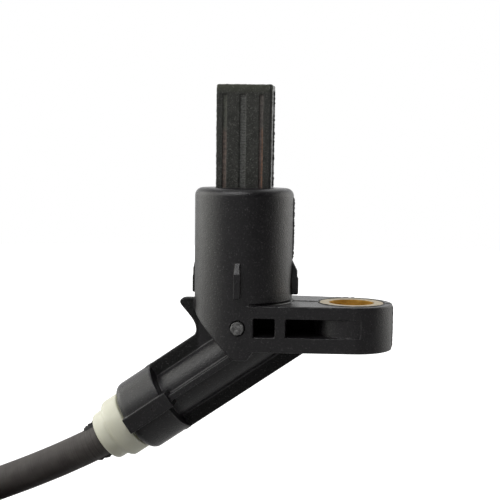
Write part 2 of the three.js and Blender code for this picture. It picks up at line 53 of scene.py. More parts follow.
# Barrel and lug
BARREL_BASE = 8.92
BARREL_TOP_RADIUS = 9.0
BARREL_TOP = 20.5
BARREL_FILLET = 1.45
LUG_THICKNESS = 8.3
LUG_END_RADIUS = 7.4
LUG_EDGE = 0.2
BOLT_OFFSET = 19.8
KEEL_DROP = 1.5
KEEL_LEFT = -0.85
KEEL_RIGHT = 1.75
KEEL_SLOPE = 1.05
HEEL_CUT = 10.6
CREVICE_RADIUS = 0.28

# Pockets that thin the lug
POCKET_TOP = -2.25
POCKET_HEIGHT = 3.3
POCKET_WEB = 0.75
SMALL_POCKET = (2.85, 6.6)
LONG_POCKET = (8.5, 21.6)
BOSS_RADIUS = 7.25

# Crush ribs
RIB_WIDTH = 1.15
RIB_TOP = 7.5
RIB_BOTTOM = 1.2
RIB_HEIGHT = 1.15
LEFT_RIB_HEIGHT = 0.45
RIB_LEAD = 1.9
RIB_STEP = 0.2
RIB_FACE_EDGE = 0.08
RIB_NARROWING = 0.17

# Gate stub
GATE_RADIUS = 1.15
GATE_RING = 0.15
GATE_PROUD = 0.6
GATE_HEIGHT = -4.0
GATE_X = 0.08

# Cable outlet
OUTLET_HEIGHT = -8.94
OUTLET_ANGLE = math.radians(34.9)
CORE_RADIUS = 4.5
CORE_START = -7.6
FLANGE_RADIUS = 6.87
FLANGE_HALF = 1.25
FLANGE_START = 6.9
COLLAR_START = 16.2
COLLAR_END = 24.5
COLLAR_ROUND = 1.5
OUTLET_RIB_HALF = 0.55
OUTLET_RIB_REACH = 6.7
PAD_LENGTH = 9.5
PAD_HALF = 1.5
PAD_REACH = 7.35
HORN_RISE = 0.15
HORN_REACH = 11.6
HORN_NOSE = 1.5
HORN_NECK = 8.55
HORN_WAIST = 3.8
HORN_FALL = 5.6

# Hollows
BORE_RADIUS = 7.4
BORE_FLOOR = -0.9
ROOF = 1.6
PASSAGE_RADIUS = 2.75
THROAT_CENTRE = -1.2
THROAT_HALF_WIDTH = 1.4
THROAT_HALF_DEPTH = 2.6
COLLAR_BORE = 5.3
COLLAR_WALL = 1.2

# Brass bush
BUSH_RADIUS = 5.77
BUSH_BORE = 4.05
BUSH_PROUD = 0.1

# Sensing bar and spool
BAR_WIDTH = 9.8
BAR_WIDENING = 0.1
BAR_SHIFT = 0.05
BAR_DEPTH = 5.4
BAR_TIP = 38.95
TIP_WALL = 0.8
GROOVE_DEPTH = 0.2
GROOVE_END = 1.8
SIDE_GROOVE = 0.7
MIDDLE_GROOVE = 1.1
SIDE_GROOVE_OFFSET = 3.28
GROOVE_SHIFT = -0.15
RIBBING_PITCH = 0.5
RUST_TOP = 32.5
DISC_RADIUS = 7.1
DISC_THICKNESS = 1.2
TOP_DISC = 17.4
BOTTOM_DISC = 7.8
SPOOL_RADIUS = 4.3
SKIRT_RADIUS = 5.4
SKIRT_BOTTOM = 3.4
MAGNET_RADIUS = 4.0
MAGNET_TOP = 7.2
POLE_WIDTH = 6.0
POLE_DEPTH = 2.6
FIT = 0.25
SEAT = 0.3

# Cable and its sleeve
CABLE_RADIUS = 3.1
CABLE_START = 17.8
SLEEVE_START = 19.6
SLEEVE_SHOULDER = 24.8
SLEEVE_RING = 5.75
SLEEVE_RING_LENGTH = 3.8
SLEEVE_TIP = 4.73
SLEEVE_TIP_LENGTH = 2.7
SLEEVE_END = SLEEVE_SHOULDER + SLEEVE_RING_LENGTH + SLEEVE_TIP_LENGTH
FIN_START = -0.2
FIN_END = 3.4
UPPER_FIN = 1.0
LOWER_FIN = 0.7

# Coil of spare cable and the plug
COIL_CENTRE = (-62.0, -33.0)
COIL_RADIUS = 33.0
TURN_PITCH = 6.6
COIL_BOTTOM = -52.0
COIL_TURNS = 4.5
POINTS_PER_TURN = 24
LEAD_RISE = 1.4
LOW_LAYER = COIL_BOTTOM + CABLE_RADIUS
HIGH_LAYER = COIL_BOTTOM + 3 * CABLE_RADIUS
FLOOR_HEIGHT = -53.3

# Cable tie
TIE_GAP = 0.12
TIE_THICKNESS = 1.0
TIE_WIDTH = 3.6
TIE_HEAD_WIDTH = 5.0
TIE_HEAD_LENGTH = 7.0
TIE_HEAD_HEIGHT = 4.0

# Plug
PLUG_REAR = -32.0
PLUG_SPIGOT = 8.0
PLUG_LENGTH = 26.0
PLUG_WIDTH = 15.6
PLUG_HEIGHT = 12.0
PLUG_CORNER = 1.6
PLUG_WALL = 1.6
PLUG_SOCKET = 13.0
PLUG_SPIGOT_RADIUS = 5.6
PIN_OFFSET = 2.5
PIN_SLOT_HALF_WIDTH = 1.0
PIN_SLOT_HALF_HEIGHT = 0.65
PLUG_LINE = COIL_CENTRE[1] - COIL_RADIUS - TURN_PITCH
PLUG_AXIS = FLOOR_HEIGHT + PLUG_HEIGHT / 2

OUTLET_ALONG = np.array([-math.cos(OUTLET_ANGLE), 0, -math.sin(OUTLET_ANGLE)])
OUTLET_UP = np.array([-math.sin(OUTLET_ANGLE), 0, math.cos(OUTLET_ANGLE)])
OUTLET_ORIGIN = np.array([0, 0, OUTLET_HEIGHT])


def outlet_point(along, up=0.0, front=0.0):
    """A point of the outlet's frame, in the part's frame, in millimetres."""
    return OUTLET_ORIGIN + along * OUTLET_ALONG + up * OUTLET_UP + np.array([0, -front, 0])


# Camera
def make_camera():
    ca, sa = math.cos(CAMERA_AZIMUTH), math.sin(CAMERA_AZIMUTH)
    ce, se = math.cos(CAMERA_ELEVATION), math.sin(CAMERA_ELEVATION)
    right = Vector((ca, sa, 0))
    forward = Vector((-sa * ce, ca * ce, -se))
    up = right.cross(forward)
    cr, sr = math.cos(CAMERA_ROLL), math.sin(CAMERA_ROLL)
    rolled_right = right * cr + up * sr
    rolled_up = up * cr - right * sr
    turn = Matrix((rolled_right, rolled_up, -forward)).transposed().to_4x4()
    data = bpy.data.cameras.new("camera")
    data.sensor_width = SENSOR_WIDTH
    data.lens = FOCAL_PIXELS / IMAGE * SENSOR_WIDTH
    data.clip_start = 0.01
    data.clip_end = 20
    camera = bpy.data.objects.new("camera", data)
    bpy.context.scene.collection.objects.link(camera)
    camera.matrix_world = Matrix.Translation(Vector(CAMERA_PLACE) * MM) @ turn
    bpy.context.scene.camera = camera


make_camera()


# Mesh making
def new_mesh(name, vertices, faces, smooth=True):
    """A mesh object from points in millimetres and faces of any number of corners."""
    vertices = np.asarray(vertices, np.float64) * MM
    mesh = bpy.data.meshes.new(name)
    mesh.from_pydata(vertices.tolist(), [], [tuple(face) for face in faces])
    mesh.polygons.foreach_set("use_smooth", np.full(len(faces), smooth))
    mesh.update()
    piece = bpy.data.objects.new(name, mesh)
    bpy.context.scene.collection.objects.link(piece)
    return piece


def points_of(mesh):
    flat = np.empty(len(mesh.vertices) * 3, np.float32)
    mesh.vertices.foreach_get("co", flat)
    return flat.reshape(-1, 3) / MM


# Signed distances, in millimetres. Each takes arrays of x, y and z that broadcast.
def both(a, b, edge=0.0):
    """Where a and b meet, with a rounded edge."""
    if edge == 0:
        return np.maximum(a, b)
    out = np.hypot(np.maximum(a + edge, 0), np.maximum(b + edge, 0))
    return np.minimum(np.maximum(a, b), -edge) + out


def either(a, b, fillet=0.0):
    """a and b joined, with a fillet."""
    if fillet == 0:
        return np.minimum(a, b)
    dip = np.hypot(np.maximum(fillet - a, 0), np.maximum(fillet - b, 0))
    return np.maximum(np.minimum(a, b), fillet) - dip


def without(a, b, edge=0.0):
    return both(a, -b, edge)


def slab(value, low, high):
    return np.maximum(low - value, value - high)


def box(x, y, z, spans, edge=0.0):
    """spans are the low and high ends along the three axes."""
    sides = [slab(v, *span) for v, span in zip((x, y, z), spans)]
    return both(both(sides[0], sides[1], edge), sides[2], edge)


def outline(u, v, corners):
    """Distance to a closed polygon given by its corners."""
    inside = np.zeros(np.broadcast(u, v).shape, bool)
    nearest = np.full(inside.shape, 1e9, np.float32)
    for (u0, v0), (u1, v1) in zip(corners, corners[1:] + corners[:1]):
        du, dv = u1 - u0, v1 - v0
        share = np.clip(((u - u0) * du + (v - v0) * dv) / (du * du + dv * dv), 0, 1)
        nearest = np.minimum(nearest, np.hypot(u - u0 - share * du, v - v0 - share * dv))
        if dv != 0:
            crosses = ((v0 > v) != (v1 > v)) & (u < (v - v0) * du / dv + u0)
            inside ^= crosses
    return np.where(inside, -nearest, nearest)


def curve_points(p0, p1, p2, p3, steps=8):
    """Points of a cubic Bezier curve, without its first."""
    made = []
    for i in range(1, steps + 1):
        t = i / steps
        weights = ((1 - t) ** 3, 3 * t * (1 - t) ** 2, 3 * t * t * (1 - t), t ** 3)
        made.append(tuple(sum(w * p[k] for w, p in zip(weights, (p0, p1, p2, p3))) for k in (0, 1)))
    return made


def surface(distance, low, high, step):
    """Vertices and quads where distance is zero, found on a grid and moved onto the true surface."""
    axes = [np.arange(a, b + step, step, dtype=np.float32) for a, b in zip(low, high)]
    grid = [axes[0][:, None, None], axes[1][None, :, None], axes[2][None, None, :]]
    field = np.broadcast_to(distance(*grid), [len(a) for a in axes]).astype(np.float32)
    inside = field < 0
    cells = np.zeros([n - 1 for n in field.shape], np.uint8)
    corners = [(i, j, k) for i in (0, 1) for j in (0, 1) for k in (0, 1)]
    shape = cells.shape
    for i, j, k in corners:
        cells += inside[i:i + shape[0], j:j + shape[1], k:k + shape[2]]
    active = np.argwhere((cells > 0) & (cells < 8))
    index = np.full(shape, -1, np.int32)
    index[tuple(active.T)] = np.arange(len(active))
    values = {c: field[tuple((active + c).T)] for c in corners}
    total = np.zeros((len(active), 3))
    hits = np.zeros(len(active))
    for c in corners:
        for axis in range(3):
            if c[axis]:
                continue
            d = tuple(1 if a == axis else v for a, v in enumerate(c))
            f0, f1 = values[c], values[d]
            cross = (f0 < 0) != (f1 < 0)
            share = np.where(cross, f0 / np.where(cross, f0 - f1, 1), 0)
            spot = np.tile(np.array(c, float), (len(active), 1))
            spot[:, axis] = share
            total += spot * cross[:, None]
            hits += cross
    vertices = (active + total / hits[:, None]) * step + np.array([a[0] for a in axes])
    quads = []
    for axis in range(3):
        u, v = (axis + 1) % 3, (axis + 2) % 3
        first = np.take(inside, np.arange(field.shape[axis] - 1), axis)
        second = np.take(inside, np.arange(1, field.shape[axis]), axis)
        for flip, found in ((False, first & ~second), (True, ~first & second)):
            edges = np.argwhere(found)
            edges = edges[(edges[:, u] > 0) & (edges[:, v] > 0)]
            ring = []
            for du, dv in ((1, 1), (0, 1), (0, 0), (1, 0)):
                cell = edges.copy()
                cell[:, u] -= du
                cell[:, v] -= dv
                ring.append(index[tuple(cell.T)])
            quads.append(np.stack(ring[::-1] if flip else ring, 1))
    quads = np.concatenate(quads)
    return settle(distance, vertices, step), quads.tolist()


def slope(distance, points, reach=0.02):
    """The distance's unit gradient at points."""
    x, y, z = points.T
    gradient = np.stack([
        distance(x + reach, y, z) - distance(x - reach, y, z),
        distance(x, y + reach, z) - distance(x, y - reach, z),
        distance(x, y, z + reach) - distance(x, y, z - reach),
    ], 1)
    return gradient / np.maximum(np.linalg.norm(gradient, axis=1, keepdims=True), 1e-9)


def settle(distance, points, step, rounds=3):
    """Moves points onto the surface, by less than half a step each round."""
    for _ in range(rounds):
        off = np.clip(distance(*points.T), -step / 2, step / 2)
        points = points - slope(distance, points) * off[:, None]
    return points


def moulded(name, distance, low, high, step, keep=1.0, roughness=None):
    """A piece made from a signed distance. keep is the share of its faces that stays, and roughness moves
    each point along the surface's slope."""
    vertices, quads = surface(distance, low, high, step)
    piece = new_mesh(name, vertices, quads)
    if keep < 1:
        thin = piece.modifiers.new("thin", "DECIMATE")
        thin.ratio = keep
        evaluated = piece.evaluated_get(bpy.context.evaluated_depsgraph_get())
        thinned = bpy.data.meshes.new_from_object(evaluated)
        piece.modifiers.clear()
        piece.data = thinned
        thinned.polygons.foreach_set("use_smooth", np.full(len(thinned.polygons), True))
    points = points_of(piece.data)
    normals = slope(distance, points)
    if roughness is not None:
        points = points + normals * roughness(points)[:, None]
        piece.data.vertices.foreach_set("co", (points * MM).astype(np.float32).ravel())
    piece.data.update()
    if roughness is None:
        piece.data.normals_split_custom_set_from_vertices(normals.tolist())
    return piece


# Housing
def barrel_distance(x, y, z):
    reach = BARREL_BASE + (BARREL_TOP_RADIUS - BARREL_BASE) * np.clip(z / BARREL_TOP, 0, 1)
    side = np.hypot(x, y) - reach
    return both(side, z - BARREL_TOP, BARREL_FILLET)


def foot_distance(x, y, z):
    """The foot of the barrel: a slanted heel and a short keel."""
    foot = -LUG_THICKNESS - KEEL_DROP
    far = 40
    corners = [
        (-far, far - HEEL_CUT), (KEEL_LEFT, -HEEL_CUT - KEEL_LEFT), (KEEL_LEFT, foot), (KEEL_RIGHT, foot),
        (KEEL_RIGHT + KEEL_SLOPE, -LUG_THICKNESS), (far, -LUG_THICKNESS), (far, far),
    ]
    return outline(x, z, corners)


def lug_distance(x, y, z):
    """The lug's plan is drawn tight round the barrel and the boss."""
    lean = (BARREL_BASE - LUG_END_RADIUS) / BOLT_OFFSET
    tilt = math.sqrt(1 - lean * lean)
    across = np.abs(y)
    level = tilt * x - lean * across
    flank = across * tilt + x * lean - BARREL_BASE
    start = np.hypot(x, y) - BARREL_BASE
    end = np.hypot(x - BOLT_OFFSET, y) - LUG_END_RADIUS
    plan = np.where(level < 0, start, np.where(level > tilt * BOLT_OFFSET, end, flank))
    return both(plan, slab(z, -LUG_THICKNESS, 0), LUG_EDGE)


def pocket_distance(x, y, z):
    draft = 0.03 * (np.abs(y) - BARREL_BASE)
    heights = slab(z, POCKET_TOP - POCKET_HEIGHT - draft, POCKET_TOP + draft)
    depth = POCKET_WEB - np.abs(y)
    small = both(slab(x, *SMALL_POCKET), heights, 0.2)
    long = both(slab(x, *LONG_POCKET), heights, 0.2)
    boss = np.hypot(x - BOLT_OFFSET, y) - BOSS_RADIUS
    return both(np.minimum(small, without(long, boss)), depth, 0.2)


def crush_rib_distance(x, y, z, height, step=0.0):
    """A rib on the +X side of the barrel's foot. Its top has a lead-in, and its middle may have a step."""
    middle = (RIB_TOP + RIB_BOTTOM) / 2
    lead = np.clip((z - RIB_TOP + RIB_LEAD) / RIB_LEAD, 0, 1)
    fall = step * np.clip((z - middle) / 0.3 + 0.5, 0, 1)
    reach = BARREL_BASE + height - fall - (height - fall) * lead
    face = (x - reach) * 0.8
    half = RIB_WIDTH / 2 - RIB_NARROWING * lead
    across = np.abs(y) - half
    return both(both(both(across, face, RIB_FACE_EDGE), slab(z, RIB_BOTTOM, RIB_TOP), 0.2), 4 - x)


def web_outline():
    inside = -BARREL_BASE + 1.2
    tip = -HORN_REACH
    flat = lambda point: (float(point[0]), float(point[2]))
    corners = [(inside, HORN_RISE), (tip + HORN_NOSE, HORN_RISE)]
    corner = ((tip + 0.4, HORN_RISE), (tip, HORN_RISE - 0.2), (tip, HORN_RISE - 0.8))
    corners += curve_points(corners[-1], *corner, 5)
    neck = (-HORN_NECK, HORN_RISE - HORN_FALL)
    waist = (-HORN_NECK, HORN_RISE - HORN_WAIST)
    corners += curve_points(corners[-1], (tip, HORN_RISE - HORN_NOSE), waist, neck)
    start = flat(outlet_point(FLANGE_START, FLANGE_RADIUS))
    below = (-HORN_NECK, neck[1] - 0.8)
    before = flat(outlet_point(FLANGE_START - 1.2, FLANGE_RADIUS))
    corners += curve_points(neck, below, before, start)
    corners.append(flat(outlet_point(COLLAR_START + 1, FLANGE_RADIUS)))
    corners.append(flat(outlet_point(COLLAR_START + 1, -FLANGE_RADIUS)))
    drop = LUG_THICKNESS - 1 + OUTLET_HEIGHT - FLANGE_RADIUS * math.cos(OUTLET_ANGLE)
    corners.append(flat(outlet_point(drop / math.sin(OUTLET_ANGLE), -FLANGE_RADIUS)))
    base = -LUG_THICKNESS + 1
    corners.append((-HEEL_CUT - base + 1.2, base))
    corners.append((inside, -HEEL_CUT - inside + 1.2))
    return corners


WEB_OUTLINE = web_outline()


def web_distance(x, y, z):
    return both(outline(x, z, WEB_OUTLINE), np.abs(y) - FLANGE_HALF, 0.25)


def outlet_frame(x, y, z):
    """Along, up and front in the outlet's frame."""
    down = z - OUTLET_HEIGHT
    along = x * OUTLET_ALONG[0] + down * OUTLET_ALONG[2]
    up = x * OUTLET_UP[0] + down * OUTLET_UP[2]
    return along, up, -y


def outlet_distance(x, y, z):
    along, up, front = outlet_frame(x, y, z)
    radius = np.hypot(up, front)
    core = both(radius - CORE_RADIUS, slab(along, CORE_START, COLLAR_START + 1))
    collar = both(radius - FLANGE_RADIUS, slab(along, COLLAR_START, COLLAR_END), 0.25)
    collar = both(collar, both(radius - FLANGE_RADIUS, along - COLLAR_END, COLLAR_ROUND))
    rib = box(along, up, front, ((0, COLLAR_END - PAD_LENGTH + 1), (-OUTLET_RIB_HALF, OUTLET_RIB_HALF),
                                 (-OUTLET_RIB_REACH, OUTLET_RIB_REACH)), 0.1)
    pad = box(along, up, front, ((COLLAR_END - PAD_LENGTH, COLLAR_END), (-PAD_HALF, PAD_HALF),
                                 (-PAD_REACH, PAD_REACH)), 0.12)
    return np.minimum(either(either(core, collar, 0.1), rib, 0.3), pad)


def gate_distance(x, y, z, radius, back, front):
    return both(np.hypot(x - GATE_X, z - GATE_HEIGHT) - radius, slab(-y, back, front), 0.12)


def hollow_distance(x, y, z):
    bore = both(np.hypot(x, y) - BORE_RADIUS, slab(z, BORE_FLOOR, BARREL_TOP - ROOF))
    half_width, half_depth = BAR_WIDTH / 2 + FIT, BAR_DEPTH / 2 + FIT
    mouth = box(x, y, z, ((-half_width, half_width), (-half_depth, half_depth), (0, BARREL_TOP + 2)))
    along, up, front = outlet_frame(x, y, z)
    radius = np.hypot(up, front)
    passage = both(radius - PASSAGE_RADIUS, slab(along, -SEAT, COLLAR_START + COLLAR_WALL + 1))
    socket = both(radius - COLLAR_BORE, slab(along, COLLAR_START + COLLAR_WALL, COLLAR_END + 2))
    low = float(outlet_point(2)[2])
    throat = box(x, y, z, ((THROAT_CENTRE - THROAT_HALF_WIDTH, THROAT_CENTRE + THROAT_HALF_WIDTH),
                           (-THROAT_HALF_DEPTH, THROAT_HALF_DEPTH), (low, BORE_FLOOR + 1)))
    bush = both(np.hypot(x - BOLT_OFFSET, y) - BUSH_RADIUS - FIT / 2, slab(z, -LUG_THICKNESS - 2, 2))
    return np.minimum.reduce(np.broadcast_arrays(bore, mouth, passage, socket, throat, bush))


def housing_distance(x, y, z):
    """The whole moulding, with a narrow crevice where the barrel's foot meets the lug."""
    foot = foot_distance(x, y, z)
    barrel = both(barrel_distance(x, y, z), foot, 0.2)
    lug = both(lug_distance(x, y, z), foot, 0.2)
    body = either(np.minimum(barrel, lug), outlet_distance(x, y, z), 0.25)
    body = without(body, pocket_distance(x, y, z), 0.2)
    crevice = np.hypot(np.hypot(x, y) - BARREL_BASE - 0.1, z - 0.05) - CREVICE_RADIUS
    body = without(body, np.maximum(crevice, 2 - x))
    ribs = [
        crush_rib_distance(x, y, z, RIB_HEIGHT, RIB_STEP),
        crush_rib_distance(-x, y, z, LEFT_RIB_HEIGHT, RIB_STEP / 2),
        crush_rib_distance(-y, x, z, RIB_HEIGHT), crush_rib_distance(y, x, z, RIB_HEIGHT),
    ]
    for rib in ribs:
        body = either(body, rib, 0.12)
    body = either(body, web_distance(x, y, z), 0.3)
    ring = gate_distance(x, y, z, GATE_RADIUS + GATE_RING, BARREL_BASE - 0.4, BARREL_BASE + 2)
    body = without(body, ring, 0.1)
    return without(body, hollow_distance(x, y, z), 0.12)


def wobble(points, size, height, seed=0.0):
    """Smooth noise of the given grain size and height at each point, in millimetres."""
    shift = Vector((seed, seed * 1.7, seed * 0.6))
    return np.array([noise.noise(Vector(p) / size + shift) for p in points.tolist()]) * height


def make_gate():
    """The broken-off stub of the mould's gate, a little rough at its end."""
    shape = lambda x, y, z: gate_distance(x, y, z, GATE_RADIUS, BARREL_BASE - 1.2, BARREL_BASE + GATE_PROUD)
    rough = lambda points: wobble(points, 0.55, 0.16, 7) * (points[:, 1] < -BARREL_BASE - 0.3)
    reach = GATE_RADIUS + 0.4
    low = (GATE_X - reach, -BARREL_BASE - GATE_PROUD - 0.3, GATE_HEIGHT - reach)
    return moulded("gate_stub", shape, low, (GATE_X + reach, -BARREL_BASE + 1.4, GATE_HEIGHT + reach), 0.08,
                   roughness=rough)


def make_housing():
    return moulded("housing_shell", housing_distance, (-26, -11, -31), (28.5, 11, 21), 0.2, keep=0.6)


# Sensing bar and spool
def bar_distance(x, y, z):
    half_width = BAR_WIDTH / 2 + BAR_WIDENING + 0.06 * np.clip((z - 20) / 19, 0, 1)
    bar = both(slab(x - BAR_SHIFT, -half_width, half_width), slab(y, -BAR_DEPTH / 2, BAR_DEPTH / 2), 0.25)
    bar = both(bar, slab(z, TOP_DISC, BAR_TIP), 0.3)
    floor = BARREL_TOP - ROOF
    grooves = ((-SIDE_GROOVE_OFFSET, SIDE_GROOVE), (0, MIDDLE_GROOVE), (SIDE_GROOVE_OFFSET, SIDE_GROOVE))
    for centre, width in grooves:
        side = slab(x - GROOVE_SHIFT, centre - width / 2, centre + width / 2)
        depth = BAR_DEPTH / 2 - GROOVE_DEPTH - np.abs(y)
        cut = both(both(side, depth), slab(z, floor, BAR_TIP - GROOVE_END))
        bar = without(bar, cut, 0.08)
    return bar


def former_distance(x, y, z):
    radius = np.hypot(x, y)
    discs = np.minimum(slab(z, TOP_DISC, TOP_DISC + DISC_THICKNESS),
                       slab(z, BOTTOM_DISC, BOTTOM_DISC + DISC_THICKNESS))
    flanges = both(radius - DISC_RADIUS, discs)
    spool = both(radius - SPOOL_RADIUS, slab(z, BOTTOM_DISC, TOP_DISC + 0.5))
    skirt = both(radius - SKIRT_RADIUS, slab(z, SKIRT_BOTTOM, BOTTOM_DISC + 0.5))
    made = np.minimum.reduce(np.broadcast_arrays(bar_distance(x, y, z), flanges, spool, skirt))
    half_width, half_depth = POLE_WIDTH / 2 + SEAT, POLE_DEPTH / 2 + SEAT
    heights = (MAGNET_TOP - 1, BAR_TIP - TIP_WALL)
    pole = box(x, y, z, ((-half_width, half_width), (-half_depth, half_depth), heights))
    seat = both(radius - MAGNET_RADIUS - SEAT, slab(z, SKIRT_BOTTOM - 1, MAGNET_TOP + SEAT))
    return without(without(made, pole), seat)


def bar_roughness(points):
    """Unevenness of the bar above the barrel, stronger at its edges and its top."""
    above = np.clip((points[:, 2] - BARREL_TOP) / 0.5, 0, 1)
    edge = np.clip((np.abs(points[:, 0]) - BAR_WIDTH / 2 + 0.5) / 0.4, 0, 1)
    top = np.clip((points[:, 2] - BAR_TIP + 0.9) / 0.6, 0, 1)
    coarse = wobble(points, 1.6, 0.03) + wobble(points, 0.4, 0.045, 3)
    return above * (coarse + edge * wobble(points, 0.7, 0.04, 5) + top * wobble(points, 0.9, 0.13, 8))


def make_bar():
    return moulded("sensing_bar", former_distance, (-7.6, -7.6, 3), (7.6, 7.6, 39.3), 0.15, keep=0.6,
                   roughness=bar_roughness)


# Turned pieces
def turned(name, profile, segments, place):
    """A closed profile of radius and height pairs turned round Z, then put in place by a function."""
    count = len(profile)
    vertices = []
    for i in range(segments):
        angle = 2 * math.pi * i / segments
        for radius, height in profile:
            vertices.append(place(radius * math.cos(angle), radius * math.sin(angle), height))
    faces = []
    for i in range(segments):
        j = (i + 1) % segments
        for k in range(count):
            m = (k + 1) % count
            faces.append((i * count + k, j * count + k, j * count + m, i * count + m))
    return new_mesh(name, vertices, faces)


def arc(r, z, radius, start, end, steps=6):
    """Points of a rounded edge on a turned profile."""
    angles = [math.radians(start + (end - start) * i / steps) for i in range(steps + 1)]
    return [(r + radius * math.cos(a), z + radius * math.sin(a)) for a in angles]


def finely(profile, step):
    """The closed profile with its long sides divided."""
    made = []
    for (r0, z0), (r1, z1) in zip(profile, profile[1:] + profile[:1]):
        parts = max(1, int(math.hypot(r1 - r0, z1 - z0) / step))
        made += [(r0 + (r1 - r0) * i / parts, z0 + (z1 - z0) * i / parts) for i in range(parts)]
    return made


def make_bush():
    low, high = -LUG_THICKNESS - BUSH_PROUD, BUSH_PROUD / 2
    c = 0.1
    profile = arc(BUSH_RADIUS - c, low + c, c, -90, 0) + arc(BUSH_RADIUS - c, high - c, c, 0, 90)
    profile += arc(BUSH_BORE + c, high - c, c, 90, 180) + arc(BUSH_BORE + c, low + c, c, 180, 270)
    shifted = lambda x, y, z: (x + BOLT_OFFSET, y, z)
    return turned("brass_bush", finely(profile, 0.8), 128, shifted)


def at_outlet(x, y, z):
    return tuple(outlet_point(z, y, x))


def make_sleeve():
    bore = CABLE_RADIUS + 0.05
    inner = COLLAR_BORE - SEAT
    step = SLEEVE_SHOULDER + SLEEVE_RING_LENGTH
    profile = [(bore, SLEEVE_START), (inner, SLEEVE_START), (inner, SLEEVE_SHOULDER)]
    profile += arc(SLEEVE_RING - 0.3, SLEEVE_SHOULDER + 0.3, 0.3, -90, 0)
    profile += arc(SLEEVE_RING - 0.9, step - 0.9, 0.9, 0, 80)
    profile += [(SLEEVE_TIP + 0.05, step + 0.05)]
    profile += arc(SLEEVE_TIP - 0.8, SLEEVE_END - 0.8, 0.8, 0, 90)
    profile += arc(bore + 0.25, SLEEVE_END - 0.25, 0.25, 90, 180)
    return turned("cable_sleeve", finely(profile, 0.5), 96, at_outlet)


# Flash left by the mould
def ridge(spots, width):
    """A thin ridge through spots of (place, outward, across, height), as vertices and quads."""
    vertices = []
    for place, out, across, height in spots:
        place, out, across = np.array(place), np.array(out), np.array(across)
        foot, tip = place - out * 0.15, place + out * height
        vertices += [foot - across * width / 2, tip - across * width * 0.2, tip + across * width * 0.2,
                     foot + across * width / 2]
    faces = [(3, 2, 1, 0)]
    for i in range(0, len(vertices) - 4, 4):
        faces += [(i + k, i + (k + 1) % 4, i + 4 + (k + 1) % 4, i + 4 + k) for k in range(4)]
    last = len(vertices) - 4
    return vertices, faces + [(last, last + 1, last + 2, last + 3)]


def gathered(name, parts):
    """One mesh object from several lots of vertices and faces."""
    vertices, faces = [], []
    for more, around in parts:
        faces += [tuple(len(vertices) + k for k in face) for face in around]
        vertices += list(more)
    return new_mesh(name, vertices, faces, smooth=False)


def ragged(place, seed, low, high, grain=0.45):
    """A height between low and high that varies along the mould's seam."""
    share = 0.5 + noise.noise(Vector(place) / grain + Vector((seed, 0, 0))) + 0.4 * noise.noise(
        Vector(place) / (grain * 0.35) + Vector((0, seed, 0)))
    return low + (high - low) * min(max(share, 0), 1)


def seam(start, end, out, across, width, low, high, seed, step=0.1):
    """Ragged flash along a straight seam."""
    start, end = Vector(start), Vector(end)
    count = max(2, int((end - start).length / step))
    spots = []
    for i in range(count + 1):
        place = start.lerp(end, i / count)
        fade = min(1, i / 4, (count - i) / 4)
        spots.append((place, out, across, ragged(place, seed, low, high) * fade + 0.01))
    return ridge(spots, width)


def bush_lip():
    """A low lip of plastic round the bush."""
    spots = []
    radius = BUSH_RADIUS + 0.25
    for i in range(97):
        angle = 2 * math.pi * i / 96
        out = (math.cos(angle), math.sin(angle), 0)
        place = (BOLT_OFFSET + radius * out[0], radius * out[1], 0)
        spots.append((place, (0, 0, 1), out, ragged(place, 9, 0.08, 0.15, 1.5)))
    return ridge(spots, 0.3)


def make_flash():
    """Flash along the parting plane of the barrel and lug, and the parting line on the lug's top."""
    right, front, up = (1, 0, 0), (0, 1, 0), (0, 0, 1)
    left = (-1, 0, 0)
    wall = lambda z: BARREL_BASE + (BARREL_TOP_RADIUS - BARREL_BASE) * z / BARREL_TOP
    lug_end = BOLT_OFFSET + LUG_END_RADIUS
    parts = [
        seam((wall(7.6), 0, 7.6), (wall(18.9), 0, 18.9), right, front, 0.3, 0.12, 0.28, 1),
        seam((-wall(1), 0, 1), (-wall(18.9), 0, 18.9), left, front, 0.25, 0.02, 0.1, 2),
        seam((lug_end, 0, -LUG_THICKNESS + 0.4), (lug_end, 0, -0.3), right, front, 0.25, 0.11, 0.17, 3),
        seam((BARREL_BASE, 0, 0), (BOLT_OFFSET - BUSH_RADIUS - 0.2, 0, 0), up, front, 0.16, 0.06, 0.12, 4),
        seam((BOLT_OFFSET + BUSH_RADIUS + 0.2, 0, 0), (lug_end - 0.3, 0, 0), up, front, 0.16, 0.04, 0.1, 5),
        seam((16.5, 7.35, -0.1), (20.5, 7.3, -0.1), (0, 0.6, 0.8), right, 0.3, 0.02, 0.22, 6),
        bush_lip(),
    ]
    return gathered("housing_flash", parts)


def make_bar_flash():
    right, front = (1, 0, 0), (0, 1, 0)
    half = BAR_WIDTH / 2 + BAR_WIDENING
    parts = [
        seam((half + BAR_SHIFT, 0, 20.7), (half + 0.1, 0, BAR_TIP - 0.9), right, front, 0.3, 0.08, 0.3, 11),
        seam((-half, 0, 20.7), (-half - 0.05, 0, BAR_TIP - 0.9), (-1, 0, 0), front, 0.3, 0.05, 0.3, 12),
    ]
    return gathered("bar_flash", parts)


